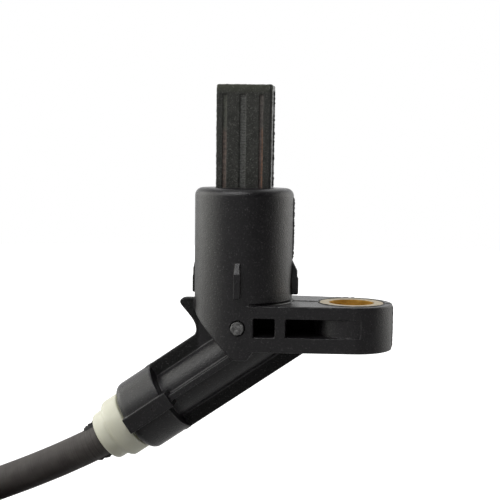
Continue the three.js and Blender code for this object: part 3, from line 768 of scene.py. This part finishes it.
# Cord
def tube(name, points, radius, sides=28):
    """A round tube along points, with frames that don't twist."""
    points = [Vector(p) for p in points]
    tangents = []
    for i in range(len(points)):
        ahead = points[min(i + 1, len(points) - 1)]
        behind = points[max(i - 1, 0)]
        tangents.append((ahead - behind).normalized())
    side = tangents[0].cross(Vector((0, 1, 0))).normalized()
    vertices = []
    for point, tangent in zip(points, tangents):
        side = (side - tangent * side.dot(tangent)).normalized()
        other = tangent.cross(side)
        for k in range(sides):
            angle = 2 * math.pi * k / sides
            vertices.append(point + (side * math.cos(angle) + other * math.sin(angle)) * radius)
    faces = []
    for i in range(len(points) - 1):
        for k in range(sides):
            m = (k + 1) % sides
            faces.append((i * sides + k, i * sides + m, (i + 1) * sides + m, (i + 1) * sides + k))
    faces.append(tuple(range(sides))[::-1])
    faces.append(tuple(range(len(vertices) - sides, len(vertices))))
    piece = new_mesh(name, [tuple(v) for v in vertices], faces)
    for end in (-1, -2):
        piece.data.polygons[end].use_smooth = False
    steps = [0] + [(b - a).length for a, b in zip(points, points[1:])]
    along = piece.data.attributes.new("along", "FLOAT", "POINT")
    along.data.foreach_set("value", np.repeat(np.cumsum(steps), sides).astype(np.float32))
    return piece


def through(points, step):
    """A smooth line through points, as a centripetal Catmull-Rom curve, with points about a step apart."""
    points = [Vector(p) for p in points]
    ends = [points[0] * 2 - points[1]] + points + [points[-1] * 2 - points[-2]]
    line = [points[0]]
    for p0, p1, p2, p3 in zip(ends, ends[1:], ends[2:], ends[3:]):
        t1 = (p1 - p0).length ** 0.5
        t2 = t1 + (p2 - p1).length ** 0.5
        t3 = t2 + (p3 - p2).length ** 0.5
        count = max(1, round((p2 - p1).length / step))
        for i in range(1, count + 1):
            t = t1 + (t2 - t1) * i / count
            a1 = p0 * ((t1 - t) / t1) + p1 * (t / t1)
            a2 = p1 * ((t2 - t) / (t2 - t1)) + p2 * ((t - t1) / (t2 - t1))
            a3 = p2 * ((t3 - t) / (t3 - t2)) + p3 * ((t - t2) / (t3 - t2))
            b1 = a1 * ((t2 - t) / t2) + a2 * (t / t2)
            b2 = a2 * ((t3 - t) / (t3 - t1)) + a3 * ((t - t1) / (t3 - t1))
            line.append(b1 * ((t2 - t) / (t2 - t1)) + b2 * ((t - t1) / (t2 - t1)))
    return line


def ease(value, start, end):
    t = min(max((value - start) / (end - start), 0), 1)
    return t * t * (3 - 2 * t)


def coil_point(t):
    """The cable's centre after t turns: two turns on top, then down and out over three lanes."""
    inward = ease(t, 0.70, 1.05)
    outward = ease(t, 2.5, 2.85) + ease(t, 3.5, 3.85)
    radius = COIL_RADIUS - TURN_PITCH * inward + TURN_PITCH * outward
    height = HIGH_LAYER + (LOW_LAYER - HIGH_LAYER) * ease(t, 1.60, 1.95)
    height += LEAD_RISE * (1 - ease(t, -0.12, 0.16)) * 0.5
    angle = 2 * math.pi * t
    return (COIL_CENTRE[0] - radius * math.sin(angle), COIL_CENTRE[1] + radius * math.cos(angle), height)


def cord_route():
    """Listed points out of the sleeve, the turns of the coil, and listed points into the plug."""
    lead = [outlet_point(a) for a in (CABLE_START, (CABLE_START + SLEEVE_END) / 2, SLEEVE_END - 1.5)]
    lead += [outlet_point(SLEEVE_END + 1, 0.02)]
    lead += [(x, 0, z) for x, z in (
        (-28.9, -28.78), (-31.8, -30.25), (-34.6, -31.62), (-37.7, -33.04), (-40.8, -34.41), (-43.6, -35.58),
        (-47.4, -37.13), (-51.5, -38.75), (-56.0, -40.3), (-59.5, -41.3),
    )]
    turns = [coil_point(i / POINTS_PER_TURN) for i in range(int(COIL_TURNS * POINTS_PER_TURN) + 1)]
    tail = [(x, PLUG_LINE, z) for x, z in (
        (-55.0, -48.9), (-48.0, -48.85), (-43.5, -48.72), (-39.3, -48.48), (-35.0, -47.95), (-32.0, -47.45),
        (-29.0, -47.3), (-25.5, -47.3),
    )]
    return through(lead + turns + tail, 1.2)


def make_cord():
    line = cord_route()
    return tube("cable_lead", line, CABLE_RADIUS), line


cord, cord_line = make_cord()


def make_sleeve_fins(line):
    """Two ragged fins of plastic that the mould let out along the cable, above and below it."""
    along = np.cumsum([0] + [(b - a).length for a, b in zip(line, line[1:])])
    start = SLEEVE_END - CABLE_START
    stations = np.arange(start + FIN_START, start + FIN_END, 0.2)
    parts = []
    for side, high, seed in ((1, UPPER_FIN, 21), (-1, LOWER_FIN, 22)):
        for shift in (-0.55, 0.0, 0.5):
            spots = []
            for s in stations:
                k = int(np.searchsorted(along, s))
                share = (s - along[k - 1]) / (along[k] - along[k - 1])
                tangent = (line[k] - line[k - 1]).normalized()
                up = Vector((tangent.z, 0, -tangent.x)) * side
                place = line[k - 1].lerp(line[k], share) + up * (CABLE_RADIUS - 0.1) + Vector((0, shift, 0))
                tall = high * (1 - abs(shift) * 0.7) * min(1, (stations[-1] - s) / 0.8 + 0.3)
                spots.append((place, up, (0, 1, 0), ragged(place, seed + shift, tall * 0.45, tall, 0.8)))
            parts.append(ridge(spots, 0.6))
    return gathered("sleeve_fins", parts)


# Cable tie
def tie_frame(x, y, z):
    """Distance from the coil's axis and along the tie's width, at the coil's left side."""
    return -(x - COIL_CENTRE[0]), y - COIL_CENTRE[1], z


def tie_distance(x, y, z):
    """A strap drawn tight round the turns, its teeth, its head and the cut end of its tail."""
    out, across, height = tie_frame(x, y, z)
    inner = COIL_RADIUS - TURN_PITCH
    outer = COIL_RADIUS + TURN_PITCH
    hull = [(inner, LOW_LAYER), (outer, LOW_LAYER), (COIL_RADIUS, HIGH_LAYER), (inner, HIGH_LAYER)]
    off = outline(out, height, hull) - CABLE_RADIUS
    strap = both(slab(off, TIE_GAP, TIE_GAP + TIE_THICKNESS), np.abs(across) - TIE_WIDTH / 2, 0.2)
    top = HIGH_LAYER + CABLE_RADIUS + TIE_GAP
    start = inner - CABLE_RADIUS - 0.3
    end = start + TIE_HEAD_LENGTH
    half_slot = TIE_WIDTH / 2 + 0.2
    head = box(out, across, height, ((start, end), (-TIE_HEAD_WIDTH / 2, TIE_HEAD_WIDTH / 2),
                                     (top, top + TIE_HEAD_HEIGHT)), 0.5)
    slot = box(out, across, height, ((start + 2.2, start + 4.0), (-half_slot, half_slot),
                                     (top + 1.6, top + TIE_HEAD_HEIGHT + 1)), 0.1)
    tail = box(out, across, height, ((start + 2.5, start + 3.7), (-TIE_WIDTH / 2, TIE_WIDTH / 2),
                                     (top + 1, top + TIE_HEAD_HEIGHT + 1.6)), 0.2)
    teeth = np.abs(((height / 0.9) % 1) - 0.5) * 0.9 - 0.2
    tail = without(tail, np.maximum(teeth, slab(out, start + 3.55, start + 5)), 0.05)
    rib = box(out, across, height, ((end - 0.1, end + 1.5), (-0.5, 0.5), (top + 0.8, top + 1.9)), 0.3)
    return np.minimum.reduce(np.broadcast_arrays(strap, without(head, slot, 0.1), tail, rib))


def make_tie():
    inner, outer = COIL_RADIUS - TURN_PITCH - CABLE_RADIUS - 2, COIL_RADIUS + TURN_PITCH + CABLE_RADIUS + 2
    low = (COIL_CENTRE[0] - outer, COIL_CENTRE[1] - 3, FLOOR_HEIGHT - 0.3)
    high = (COIL_CENTRE[0] - inner, COIL_CENTRE[1] + 3, HIGH_LAYER + CABLE_RADIUS + 7)
    return moulded("tie_strap", tie_distance, low, high, 0.16, keep=0.6)


# Plug
def plug_distance(x, y, z):
    """Two-way plug shell: a keyed body with a socket, a latch ramp, grip ribs and a round spigot."""
    across, up = y - PLUG_LINE, z - PLUG_AXIS
    start = PLUG_REAR + PLUG_SPIGOT
    front = start + PLUG_LENGTH
    half_width, half_height = PLUG_WIDTH / 2, PLUG_HEIGHT / 2
    radius = np.hypot(across, up)
    section = both(np.abs(across) - half_width, np.abs(up) - half_height, PLUG_CORNER)
    body = both(section, slab(x, start, front), 0.4)
    lip = both(both(np.abs(across) - half_width - 0.35, np.abs(up) - half_height - 0.35, PLUG_CORNER),
               slab(x, start + 0.6, start + 2.2), 0.3)
    lip = np.maximum(lip, -up - half_height)
    spigot = both(radius - PLUG_SPIGOT_RADIUS, slab(x, PLUG_REAR, start + 1), 0.5)
    groove = both(PLUG_SPIGOT_RADIUS - 0.4 - radius, slab(x, PLUG_REAR + 3.6, PLUG_REAR + 4.6))
    spigot = without(spigot, groove, 0.1)
    side = np.abs(across) - half_width - 0.4
    waves = np.abs(((x - start - 4) / 1.5) % 1 - 0.5) * 1.5 - 0.38
    waves = both(waves, slab(x, start + 4, start + 11.5))
    grips = both(both(side, np.abs(up) - half_height + 3), waves, 0.15)
    grips = np.maximum(grips, half_width - 1 - np.abs(across))
    keys = both(np.abs(across) - half_width - 0.45, np.abs(up + 2.2) - 0.7)
    keys = both(keys, slab(x, start + 14, front - 0.6), 0.2)
    keys = np.maximum(keys, half_width - 1 - np.abs(across))
    ramp_end = front - 3
    ramp_start = ramp_end - 6
    rise = half_height + 1.6 * np.clip((ramp_end - x) / 4.4, 0, 1)
    root = half_height - 1.2 - up
    latch = both(both(up - rise, np.abs(across) - 2.5), both(slab(x, ramp_start, ramp_end), root), 0.15)
    ears = both(up - half_height - 1.1, slab(x, ramp_start - 3, ramp_end))
    ears = both(slab(np.abs(across), 3.4, 4.4), ears, 0.2)
    ears = np.maximum(ears, root)
    made = np.minimum.reduce(np.broadcast_arrays(body, lip, spigot, grips, keys, latch, ears))
    inner_width, inner_height = half_width - PLUG_WALL, half_height - PLUG_WALL
    floor = front - PLUG_SOCKET
    socket = both(np.abs(across) - inner_width, np.abs(up) - inner_height, 0.8)
    socket = both(socket, slab(x, floor, front + 2))
    rear = both(radius - PLUG_SPIGOT_RADIUS + 1.2, slab(x, PLUG_REAR - 2, floor - 3))
    sides = slab(np.abs(across), PIN_OFFSET - PIN_SLOT_HALF_WIDTH, PIN_OFFSET + PIN_SLOT_HALF_WIDTH)
    pins = both(sides, both(np.abs(up) - PIN_SLOT_HALF_HEIGHT, slab(x, floor - 4, floor + 1)))
    made = without(made, np.minimum(socket, rear), 0.2)
    return without(made, pins, 0.1)


def make_plug():
    low = (PLUG_REAR - 1, PLUG_LINE - 9.2, PLUG_AXIS - 7)
    high = (PLUG_REAR + PLUG_SPIGOT + PLUG_LENGTH + 1, PLUG_LINE + 9.2, PLUG_AXIS + 9)
    return moulded("plug_shell", plug_distance, low, high, 0.2, keep=0.5)


housing = make_housing()
bar = make_bar()
bush = make_bush()
sleeve = make_sleeve()
gate = make_gate()
flash = make_flash()
bar_flash = make_bar_flash()
fins = make_sleeve_fins(cord_line)
tie = make_tie()
plug = make_plug()


# Materials
def fill(tree, node, inputs):
    """Sets a node's inputs to values, or links them to sockets."""
    for name, value in inputs.items():
        if isinstance(value, bpy.types.NodeSocket):
            tree.links.new(value, node.inputs[name])
        else:
            node.inputs[name].default_value = value


def add_node(tree, kind, inputs, **settings):
    node = tree.nodes.new("ShaderNode" + kind)
    for name, value in settings.items():
        setattr(node, name, value)
    fill(tree, node, inputs)
    return node


def map_range(tree, value, low, high, new_low, new_high, **settings):
    inputs = {"Value": value, "From Min": low, "From Max": high, "To Min": new_low, "To Max": new_high}
    return add_node(tree, "MapRange", inputs, **settings).outputs[0]


class Graph:
    """A short way to write a node material."""

    def __init__(self, name):
        self.material = bpy.data.materials.new(name)
        self.material.use_nodes = True
        self.tree = self.material.node_tree
        self.coords = add_node(self.tree, "TexCoord", {}).outputs["Object"]

    def set(self, **values):
        names = {"color": "Base Color", "roughness": "Roughness", "metallic": "Metallic", "normal": "Normal",
                 "specular": "Specular IOR Level"}
        shader = self.tree.nodes["Principled BSDF"]
        fill(self.tree, shader, {names[key]: value for key, value in values.items()})
        return self.material

    def noise(self, grain, detail=3.0, rough=0.5, stretch=(1, 1, 1)):
        """Noise whose grain is in millimetres, stretched along the object's axes."""
        scale = tuple(1 / (s * grain * MM) for s in stretch)
        place = add_node(self.tree, "Mapping", {"Vector": self.coords, "Scale": scale})
        inputs = {"Vector": place.outputs[0], "Scale": 1.0, "Detail": detail, "Roughness": rough}
        return add_node(self.tree, "TexNoise", inputs).outputs["Fac"]

    def ramp(self, value, dark, light):
        """dark where value is 0.3 or less, and light where it is 0.7 or more."""
        node = add_node(self.tree, "ValToRGB", {"Fac": value})
        for element, place, color in zip(node.color_ramp.elements, (0.3, 0.7), (dark, light)):
            element.position = place
            element.color = (*color, 1)
        return node.outputs["Color"]

    def span(self, value, low, high, new_low, new_high):
        return map_range(self.tree, value, low, high, new_low, new_high)

    def rise(self, value, low, high):
        """0 below low and 1 above high, in millimetres."""
        return self.span(value, low * MM, high * MM, 0.0, 1.0)

    def fall(self, value, low, high):
        """1 below low and 0 above high, in millimetres."""
        return self.span(value, low * MM, high * MM, 1.0, 0.0)

    def math(self, kind, a, b=0.0):
        return add_node(self.tree, "Math", {0: a, 1: b}, operation=kind).outputs[0]

    def plus(self, a, b):
        return self.math("ADD", a, b)

    def minus(self, a, b):
        return self.math("SUBTRACT", a, b)

    def times(self, a, b):
        return self.math("MULTIPLY", a, b)

    def near(self, value, centre, half, soft):
        """1 where value is within half of centre, falling to 0 over soft. Lengths are in millimetres."""
        away = self.math("ABSOLUTE", self.minus(value, centre * MM))
        return self.fall(away, half - soft / 2, half + soft / 2)

    def mix(self, factor, a, b):
        a, b = ((*v, 1) if isinstance(v, tuple) else v for v in (a, b))
        return add_node(self.tree, "Mix", {"Factor": factor, 6: a, 7: b}, data_type="RGBA").outputs[2]

    def axes(self):
        node = add_node(self.tree, "SeparateXYZ", {0: self.coords})
        return tuple(node.outputs)

    def bump(self, height, strength, distance, after=None):
        """distance is in millimetres."""
        inputs = {"Strength": strength, "Distance": distance * MM, "Height": height}
        if after is not None:
            inputs["Normal"] = after
        return add_node(self.tree, "Bump", inputs).outputs["Normal"]


def plastic(name, dark, light, rough, grain=0.25, height=0.02, blotch=3.0):
    """Moulded plastic with a fine surface grain, faint blotches and a roughness that varies a little."""
    g = Graph(name)
    color = g.ramp(g.noise(blotch, 4), dark, light)
    roughness = g.span(g.noise(blotch * 0.6, 5, 0.6), 0.3, 0.7, rough - 0.05, rough + 0.07)
    fine = g.bump(g.noise(grain, 3, 0.6), 0.5, height)
    normal = g.bump(g.noise(blotch * 0.8, 2), 0.4, height * 2, fine)
    return g.set(color=color, roughness=roughness, normal=normal)


def metal(name, dark, light, rough, stretch=(1, 1, 1)):
    """Worked metal with fine marks and a little tarnish."""
    g = Graph(name)
    color = g.ramp(g.noise(1.6, 5, 0.6), dark, light)
    marks = g.noise(0.12, 3, 0.6, stretch)
    roughness = g.span(marks, 0.3, 0.7, rough - 0.08, rough + 0.1)
    return g.set(color=color, roughness=roughness, metallic=1.0, normal=g.bump(marks, 0.3, 0.012))


def make_housing_black():
    """Satin black on the round forms, a rough matt black on the horn and flanges, and painted shade in the
    deep pockets.
    """
    g = Graph("housing_black")
    x, y, z = g.axes()
    down = g.minus(z, OUTLET_HEIGHT * MM)
    along, up = (g.plus(g.times(x, float(way[0])), g.times(down, float(way[2])))
                 for way in (OUTLET_ALONG, OUTLET_UP))
    left = g.fall(x, -8.4, -7.9)
    below = g.times(g.fall(up, -CORE_RADIUS - 0.1, -CORE_RADIUS),
                    g.fall(z, -LUG_THICKNESS - 0.4, -LUG_THICKNESS - 0.3))
    web = g.times(g.near(y, 0, FLANGE_HALF + 0.05, 0.1), g.math("MAXIMUM", left, below))
    web = g.times(web, g.fall(along, COLLAR_START - 0.1, COLLAR_START))
    satin = g.ramp(g.noise(3.0, 4), (0.0044, 0.0038, 0.0047), (0.0061, 0.0055, 0.0064))
    color = g.mix(web, satin, (0.0022, 0.0022, 0.0023))
    # Painted shade: the deep pockets and the web at their back get a near-black colour and less shine, for
    # the shade inside them.
    start, end = SMALL_POCKET[0], BOLT_OFFSET - BOSS_RADIUS + 0.6
    inside = g.times(g.near(z, POCKET_TOP - POCKET_HEIGHT / 2, POCKET_HEIGHT / 2 + 0.1, 0.1),
                     g.near(y, 0, POCKET_WEB + 0.9, 1.2))
    inside = g.times(inside, g.near(x, (start + end) / 2, (end - start) / 2, 0.2))
    color = g.mix(inside, color, (0.0008, 0.0008, 0.0008))
    polish = g.span(g.noise(1.8, 5, 0.6), 0.3, 0.7, 0.27, 0.34)
    roughness = g.mix(web, polish, (0.6, 0.6, 0.6))
    speck = g.times(g.span(g.noise(0.3, 3, 0.6), 0.58, 0.7, 0.0, 0.8), g.minus(1.0, inside))
    color = g.mix(speck, color, (0.045, 0.043, 0.045))
    grain = g.bump(g.noise(0.26, 3, 0.65), 0.9, 0.07)
    pits = g.bump(g.times(g.noise(0.5, 3, 0.6), web), 0.9, 0.16, grain)
    normal = g.bump(g.noise(2.4, 2), 0.4, 0.04, pits)
    shine = g.minus(g.span(web, 0.0, 1.0, 0.36, 0.2), g.times(inside, 0.34))
    return g.set(color=color, roughness=roughness, normal=normal, specular=shine)


def make_bar_black():
    """Rough olive black, with three paler stripes down the bar's two faces."""
    g = Graph("bar_black")
    x, y, z = g.axes()
    face = g.ramp(g.noise(1.2, 5, 0.65), (0.009, 0.0095, 0.0075), (0.022, 0.0225, 0.0195))
    olive = g.times(g.rise(z, BAR_TIP - 1.6, BAR_TIP - 0.3), 0.65)
    color = g.mix(olive, face, (0.045, 0.05, 0.032))
    groove_top = BAR_TIP - GROOVE_END
    inside = g.times(g.fall(z, groove_top - 0.1, groove_top), g.rise(g.math("ABSOLUTE", y), 2.2, 2.3))
    lower = g.fall(g.plus(z, g.times(g.noise(2.0, 3), 4 * MM)), RUST_TOP - 1, RUST_TOP + 1)
    split = SIDE_GROOVE_OFFSET + 0.22
    warm = g.rise(g.plus(x, g.times(g.noise(1.5, 3), 0.6 * MM)), split - 0.1, split + 0.1)
    rust = g.mix(lower, (0.07, 0.06, 0.055), g.mix(warm, (0.085, 0.062, 0.056), (0.14, 0.068, 0.04)))
    brown = g.mix(lower, (0.062, 0.065, 0.052), (0.1, 0.074, 0.062))
    shifted = g.plus(z, g.times(g.noise(0.9, 3), 1.1 * MM))
    ribbing = g.math("SINE", g.times(shifted, 2 * math.pi / (RIBBING_PITCH * MM)))
    ribbing = g.times(ribbing, g.span(g.noise(1.1, 2), 0.35, 0.6, 0.1, 1.0))
    thread = g.mix(g.span(ribbing, -1.0, 1.0, 0.0, 1.0), (0.035, 0.036, 0.033), (0.09, 0.092, 0.087))
    stripes = ((-SIDE_GROOVE_OFFSET, SIDE_GROOVE, brown), (0, MIDDLE_GROOVE, thread),
               (SIDE_GROOVE_OFFSET, SIDE_GROOVE, rust))
    for centre, width, tint in stripes:
        where = g.times(g.near(x, centre + GROOVE_SHIFT, width / 2 - 0.02, 0.12), inside)
        worn = g.times(where, g.span(g.noise(0.45, 4, 0.7), 0.35, 0.6, 0.35, 1.0))
        color = g.mix(worn, color, tint)
    fine = g.bump(g.noise(0.34, 4, 0.7), 0.9, 0.1)
    normal = g.bump(g.noise(1.3, 3), 0.5, 0.12, fine)
    speck = g.span(g.noise(0.26, 3, 0.75), 0.54, 0.68, 0.0, 0.6)
    color = g.mix(speck, color, (0.1, 0.098, 0.092))
    edge = BAR_WIDTH / 2
    # Painted shadow: a dark line just inside the bar's +X edge stands in for the shadow gap there.
    color = g.mix(g.near(x, edge - 0.18, 0.12, 0.12), color, (0.003, 0.003, 0.003))
    flank = g.span(g.math("ABSOLUTE", x), (edge - 0.05) * MM, (edge + 0.05) * MM, 0.72, 0.24)
    return g.set(color=color, roughness=flank, normal=normal, specular=0.35)


def make_cable_black():
    """Brown-black jacket with fine marks round it, most of them near the sleeve."""
    g = Graph("cable_black")
    along = add_node(g.tree, "Attribute", {}, attribute_name="along").outputs["Fac"]
    rings = add_node(g.tree, "TexNoise", {"Scale": 3.2, "Detail": 5}, noise_dimensions="1D")
    fill(g.tree, rings, {"W": along})
    start = SLEEVE_END - CABLE_START
    close = g.span(along, start + 1, start + 9, 1.0, 0.25)
    color = g.ramp(g.noise(2.6, 4), (0.027, 0.0225, 0.0215), (0.043, 0.0375, 0.035))
    marks = g.times(g.span(rings.outputs["Fac"], 0.35, 0.65, 0.0, 1.0), close)
    marks = g.times(marks, g.span(g.noise(1.4, 4, 0.7), 0.35, 0.6, 0.2, 1.0))
    color = g.mix(g.times(marks, 0.6), color, (0.075, 0.069, 0.064))
    lines = g.bump(marks, 0.9, 0.06)
    fine = g.bump(g.noise(0.3, 3, 0.6), 0.5, 0.025, lines)
    return g.set(color=color, roughness=0.6, normal=g.bump(g.noise(3.0, 2), 0.4, 0.1, fine), specular=0.3)


def make_brass(name, pale, deep, rough, shine):
    """Dull brass with fine marks."""
    g = Graph(name)
    color = g.ramp(g.noise(1.2, 5, 0.65), deep, pale)
    marks = g.noise(0.1, 3, 0.6)
    return g.set(color=color, roughness=rough, metallic=shine, normal=g.bump(marks, 0.35, 0.012))


housing_black = make_housing_black()
bar_black = make_bar_black()
cable_black = make_cable_black()
stub_black = plastic("stub_black", (0.036, 0.0355, 0.0355), (0.105, 0.103, 0.102), 0.45, 0.2, 0.08, 0.4)
flash_black = plastic("flash_black", (0.006, 0.006, 0.0065), (0.012, 0.0115, 0.011), 0.5, 0.2, 0.03, 0.8)
bush_face = make_brass("bush_face", (0.44, 0.38, 0.27), (0.29, 0.24, 0.155), 0.5, 0.6)
# Painted reflection: the bore is a deeper, more orange, less metallic copy of the bush's brass, standing in
# for light reflected round inside it.
bush_bore_painted_reflection = make_brass("bush_bore_painted_reflection", (0.56, 0.32, 0.062), (0.44, 0.24, 0.035), 0.45, 0.5)
plug_black = plastic("plug_black", (0.011, 0.011, 0.012), (0.015, 0.015, 0.016), 0.5)
tie_black = plastic("tie_black", (0.007, 0.007, 0.007), (0.01, 0.01, 0.01), 0.4)
nylon = plastic("nylon", (0.43, 0.425, 0.345), (0.5, 0.495, 0.41), 0.4, 0.5, 0.01, 4.0)
fill(nylon.node_tree, nylon.node_tree.nodes["Principled BSDF"], {
    "Subsurface Weight": 0.35, "Subsurface Scale": 1.5 * MM, "Subsurface Radius": (1.0, 1.0, 0.8),
})
brass = metal("brass", (0.62, 0.44, 0.2), (0.8, 0.62, 0.34), 0.38)
copper = metal("copper", (0.5, 0.2, 0.08), (0.62, 0.28, 0.12), 0.35)
steel = metal("steel", (0.4, 0.4, 0.4), (0.52, 0.52, 0.53), 0.35, (1, 1, 30))
tin = metal("tin", (0.52, 0.51, 0.48), (0.64, 0.63, 0.6), 0.3)
rubber_brown = plastic("rubber_brown", (0.03, 0.02, 0.015), (0.045, 0.03, 0.022), 0.75)
core_brown = plastic("core_brown", (0.16, 0.06, 0.025), (0.2, 0.08, 0.03), 0.45)
core_blue = plastic("core_blue", (0.02, 0.06, 0.2), (0.03, 0.08, 0.26), 0.45)


def dress(piece, material):
    """Gives a piece its material and its body."""
    piece.data.materials.clear()
    piece.data.materials.append(material)
    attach(piece, "root")


dress(cord, cable_black)
dress(housing, housing_black)
dress(bar, bar_black)
dress(bush, bush_face)
bush.data.materials.append(bush_bore_painted_reflection)
for face in bush.data.polygons:
    spot = face.center / MM
    if math.hypot(spot.x - BOLT_OFFSET, spot.y) < BUSH_BORE + 0.02:
        face.material_index = 1
dress(gate, stub_black)
dress(flash, flash_black)
dress(bar_flash, flash_black)
dress(fins, flash_black)
dress(tie, tie_black)
dress(plug, plug_black)
dress(sleeve, nylon)
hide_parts("cable", "cable_coil", "cable_tail")
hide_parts("housing")
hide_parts("coil_former")
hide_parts("lug_bush")
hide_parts("nylon_sleeve")
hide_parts("cable_tie")
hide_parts("plug_housing")

node_materials = {
    "pole_bar": steel, "magnet": tin, "coil_winding": copper, "cable_seal": rubber_brown,
    "core_insulation_front": core_brown, "core_insulation_rear": core_blue,
    "terminal_front": brass, "terminal_rear": brass, "conductor_front": copper, "conductor_rear": copper,
    "crimp_front": tin, "crimp_rear": tin,
    "plug_pin_1": tin, "plug_pin_2": tin, "plug_seal": rubber_brown,
}
for name, finish in node_materials.items():
    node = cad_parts[name]
    node.data.materials.clear()
    node.data.materials.append(finish)


# Floor, light and background. The room is dim in front and bright behind the object.
ROOM_LEVEL = 0.02
BACKDROP_LEVEL = 0.9
FLOOR_REACH = 800
FLOOR_SIDES = 64


def seen_directly(tree):
    """1 for a ray from the camera or through glass, and 0 for the rest."""
    rays = add_node(tree, "LightPath", {}).outputs
    inputs = {0: rays["Is Camera Ray"], 1: rays["Is Transmission Ray"]}
    return add_node(tree, "Math", inputs, operation="MAXIMUM").outputs[0]


def make_floor():
    """A pale floor that keeps the object's shadow and fades to white away from it."""
    angles = [2 * math.pi * i / FLOOR_SIDES for i in range(FLOOR_SIDES)]
    rim = [(FLOOR_REACH * math.cos(a), FLOOR_REACH * math.sin(a), FLOOR_HEIGHT - 0.05) for a in angles]
    floor = new_mesh("floor", rim, [tuple(range(FLOOR_SIDES))])
    material = bpy.data.materials.new("floor_white")
    material.use_nodes = True
    tree = material.node_tree
    tree.nodes.clear()
    diffuse = add_node(tree, "BsdfDiffuse", {"Color": (0.48, 0.48, 0.48, 1)}).outputs[0]
    coords = add_node(tree, "TexCoord", {}).outputs["Object"]
    away = add_node(tree, "VectorMath", {0: coords}, operation="LENGTH").outputs["Value"]
    glow = add_node(tree, "Emission", {"Strength": map_range(tree, away, 0.12, 0.35, 0.7, 1.0)}).outputs[0]
    total = add_node(tree, "AddShader", {0: diffuse, 1: glow}).outputs[0]
    shown = add_node(tree, "MixShader", {0: seen_directly(tree), 1: diffuse, 2: total}).outputs[0]
    add_node(tree, "OutputMaterial", {"Surface": shown})
    floor.data.materials.append(material)


def make_world():
    """White to the camera, and a soft backdrop of light behind the object."""
    world = bpy.data.worlds.new("studio")
    bpy.context.scene.world = world
    world.use_nodes = True
    tree = world.node_tree
    coords = add_node(tree, "TexCoord", {}).outputs["Generated"]
    y = add_node(tree, "SeparateXYZ", {0: coords}).outputs["Y"]
    studio = map_range(tree, y, -0.3, 0.9, ROOM_LEVEL, BACKDROP_LEVEL, interpolation_type="SMOOTHSTEP")
    level = add_node(tree, "Mix", {0: seen_directly(tree), 2: studio, 3: 1.0}, data_type="FLOAT").outputs[0]
    fill(tree, tree.nodes["Background"], {"Color": (1, 1, 1, 1), "Strength": level})


def lamp(name, place, width, height, power, color=(1, 1, 1)):
    """A rectangular soft light that points at the origin. Its place and size are in millimetres."""
    data = bpy.data.lights.new(name, "AREA")
    data.shape = "RECTANGLE"
    data.size = width * MM
    data.size_y = height * MM
    data.energy = power
    data.color = color
    light = bpy.data.objects.new(name, data)
    bpy.context.scene.collection.objects.link(light)
    light.visible_camera = False
    light.location = Vector(place) * MM
    light.rotation_euler = (-Vector(place)).to_track_quat("-Z", "Y").to_euler()


make_floor()
make_world()
lamp("left_box", (-450, 0, 90), 620, 460, 2.6, (1, 1, 0.94))
lamp("front_fill", (-190, -610, 40), 960, 320, 0.36)
lamp("key", (-211, -301, 368), 520, 300, 1.75)
lamp("spark", (-71, -266, 441), 140, 100, 0.6)
lamp("right_box", (400, 205, 50), 460, 420, 1.05, (1, 0.98, 0.93))
lamp("top_back", (0, 200, 440), 500, 400, 0.6)
bpy.context.scene.view_settings.view_transform = "Standard"
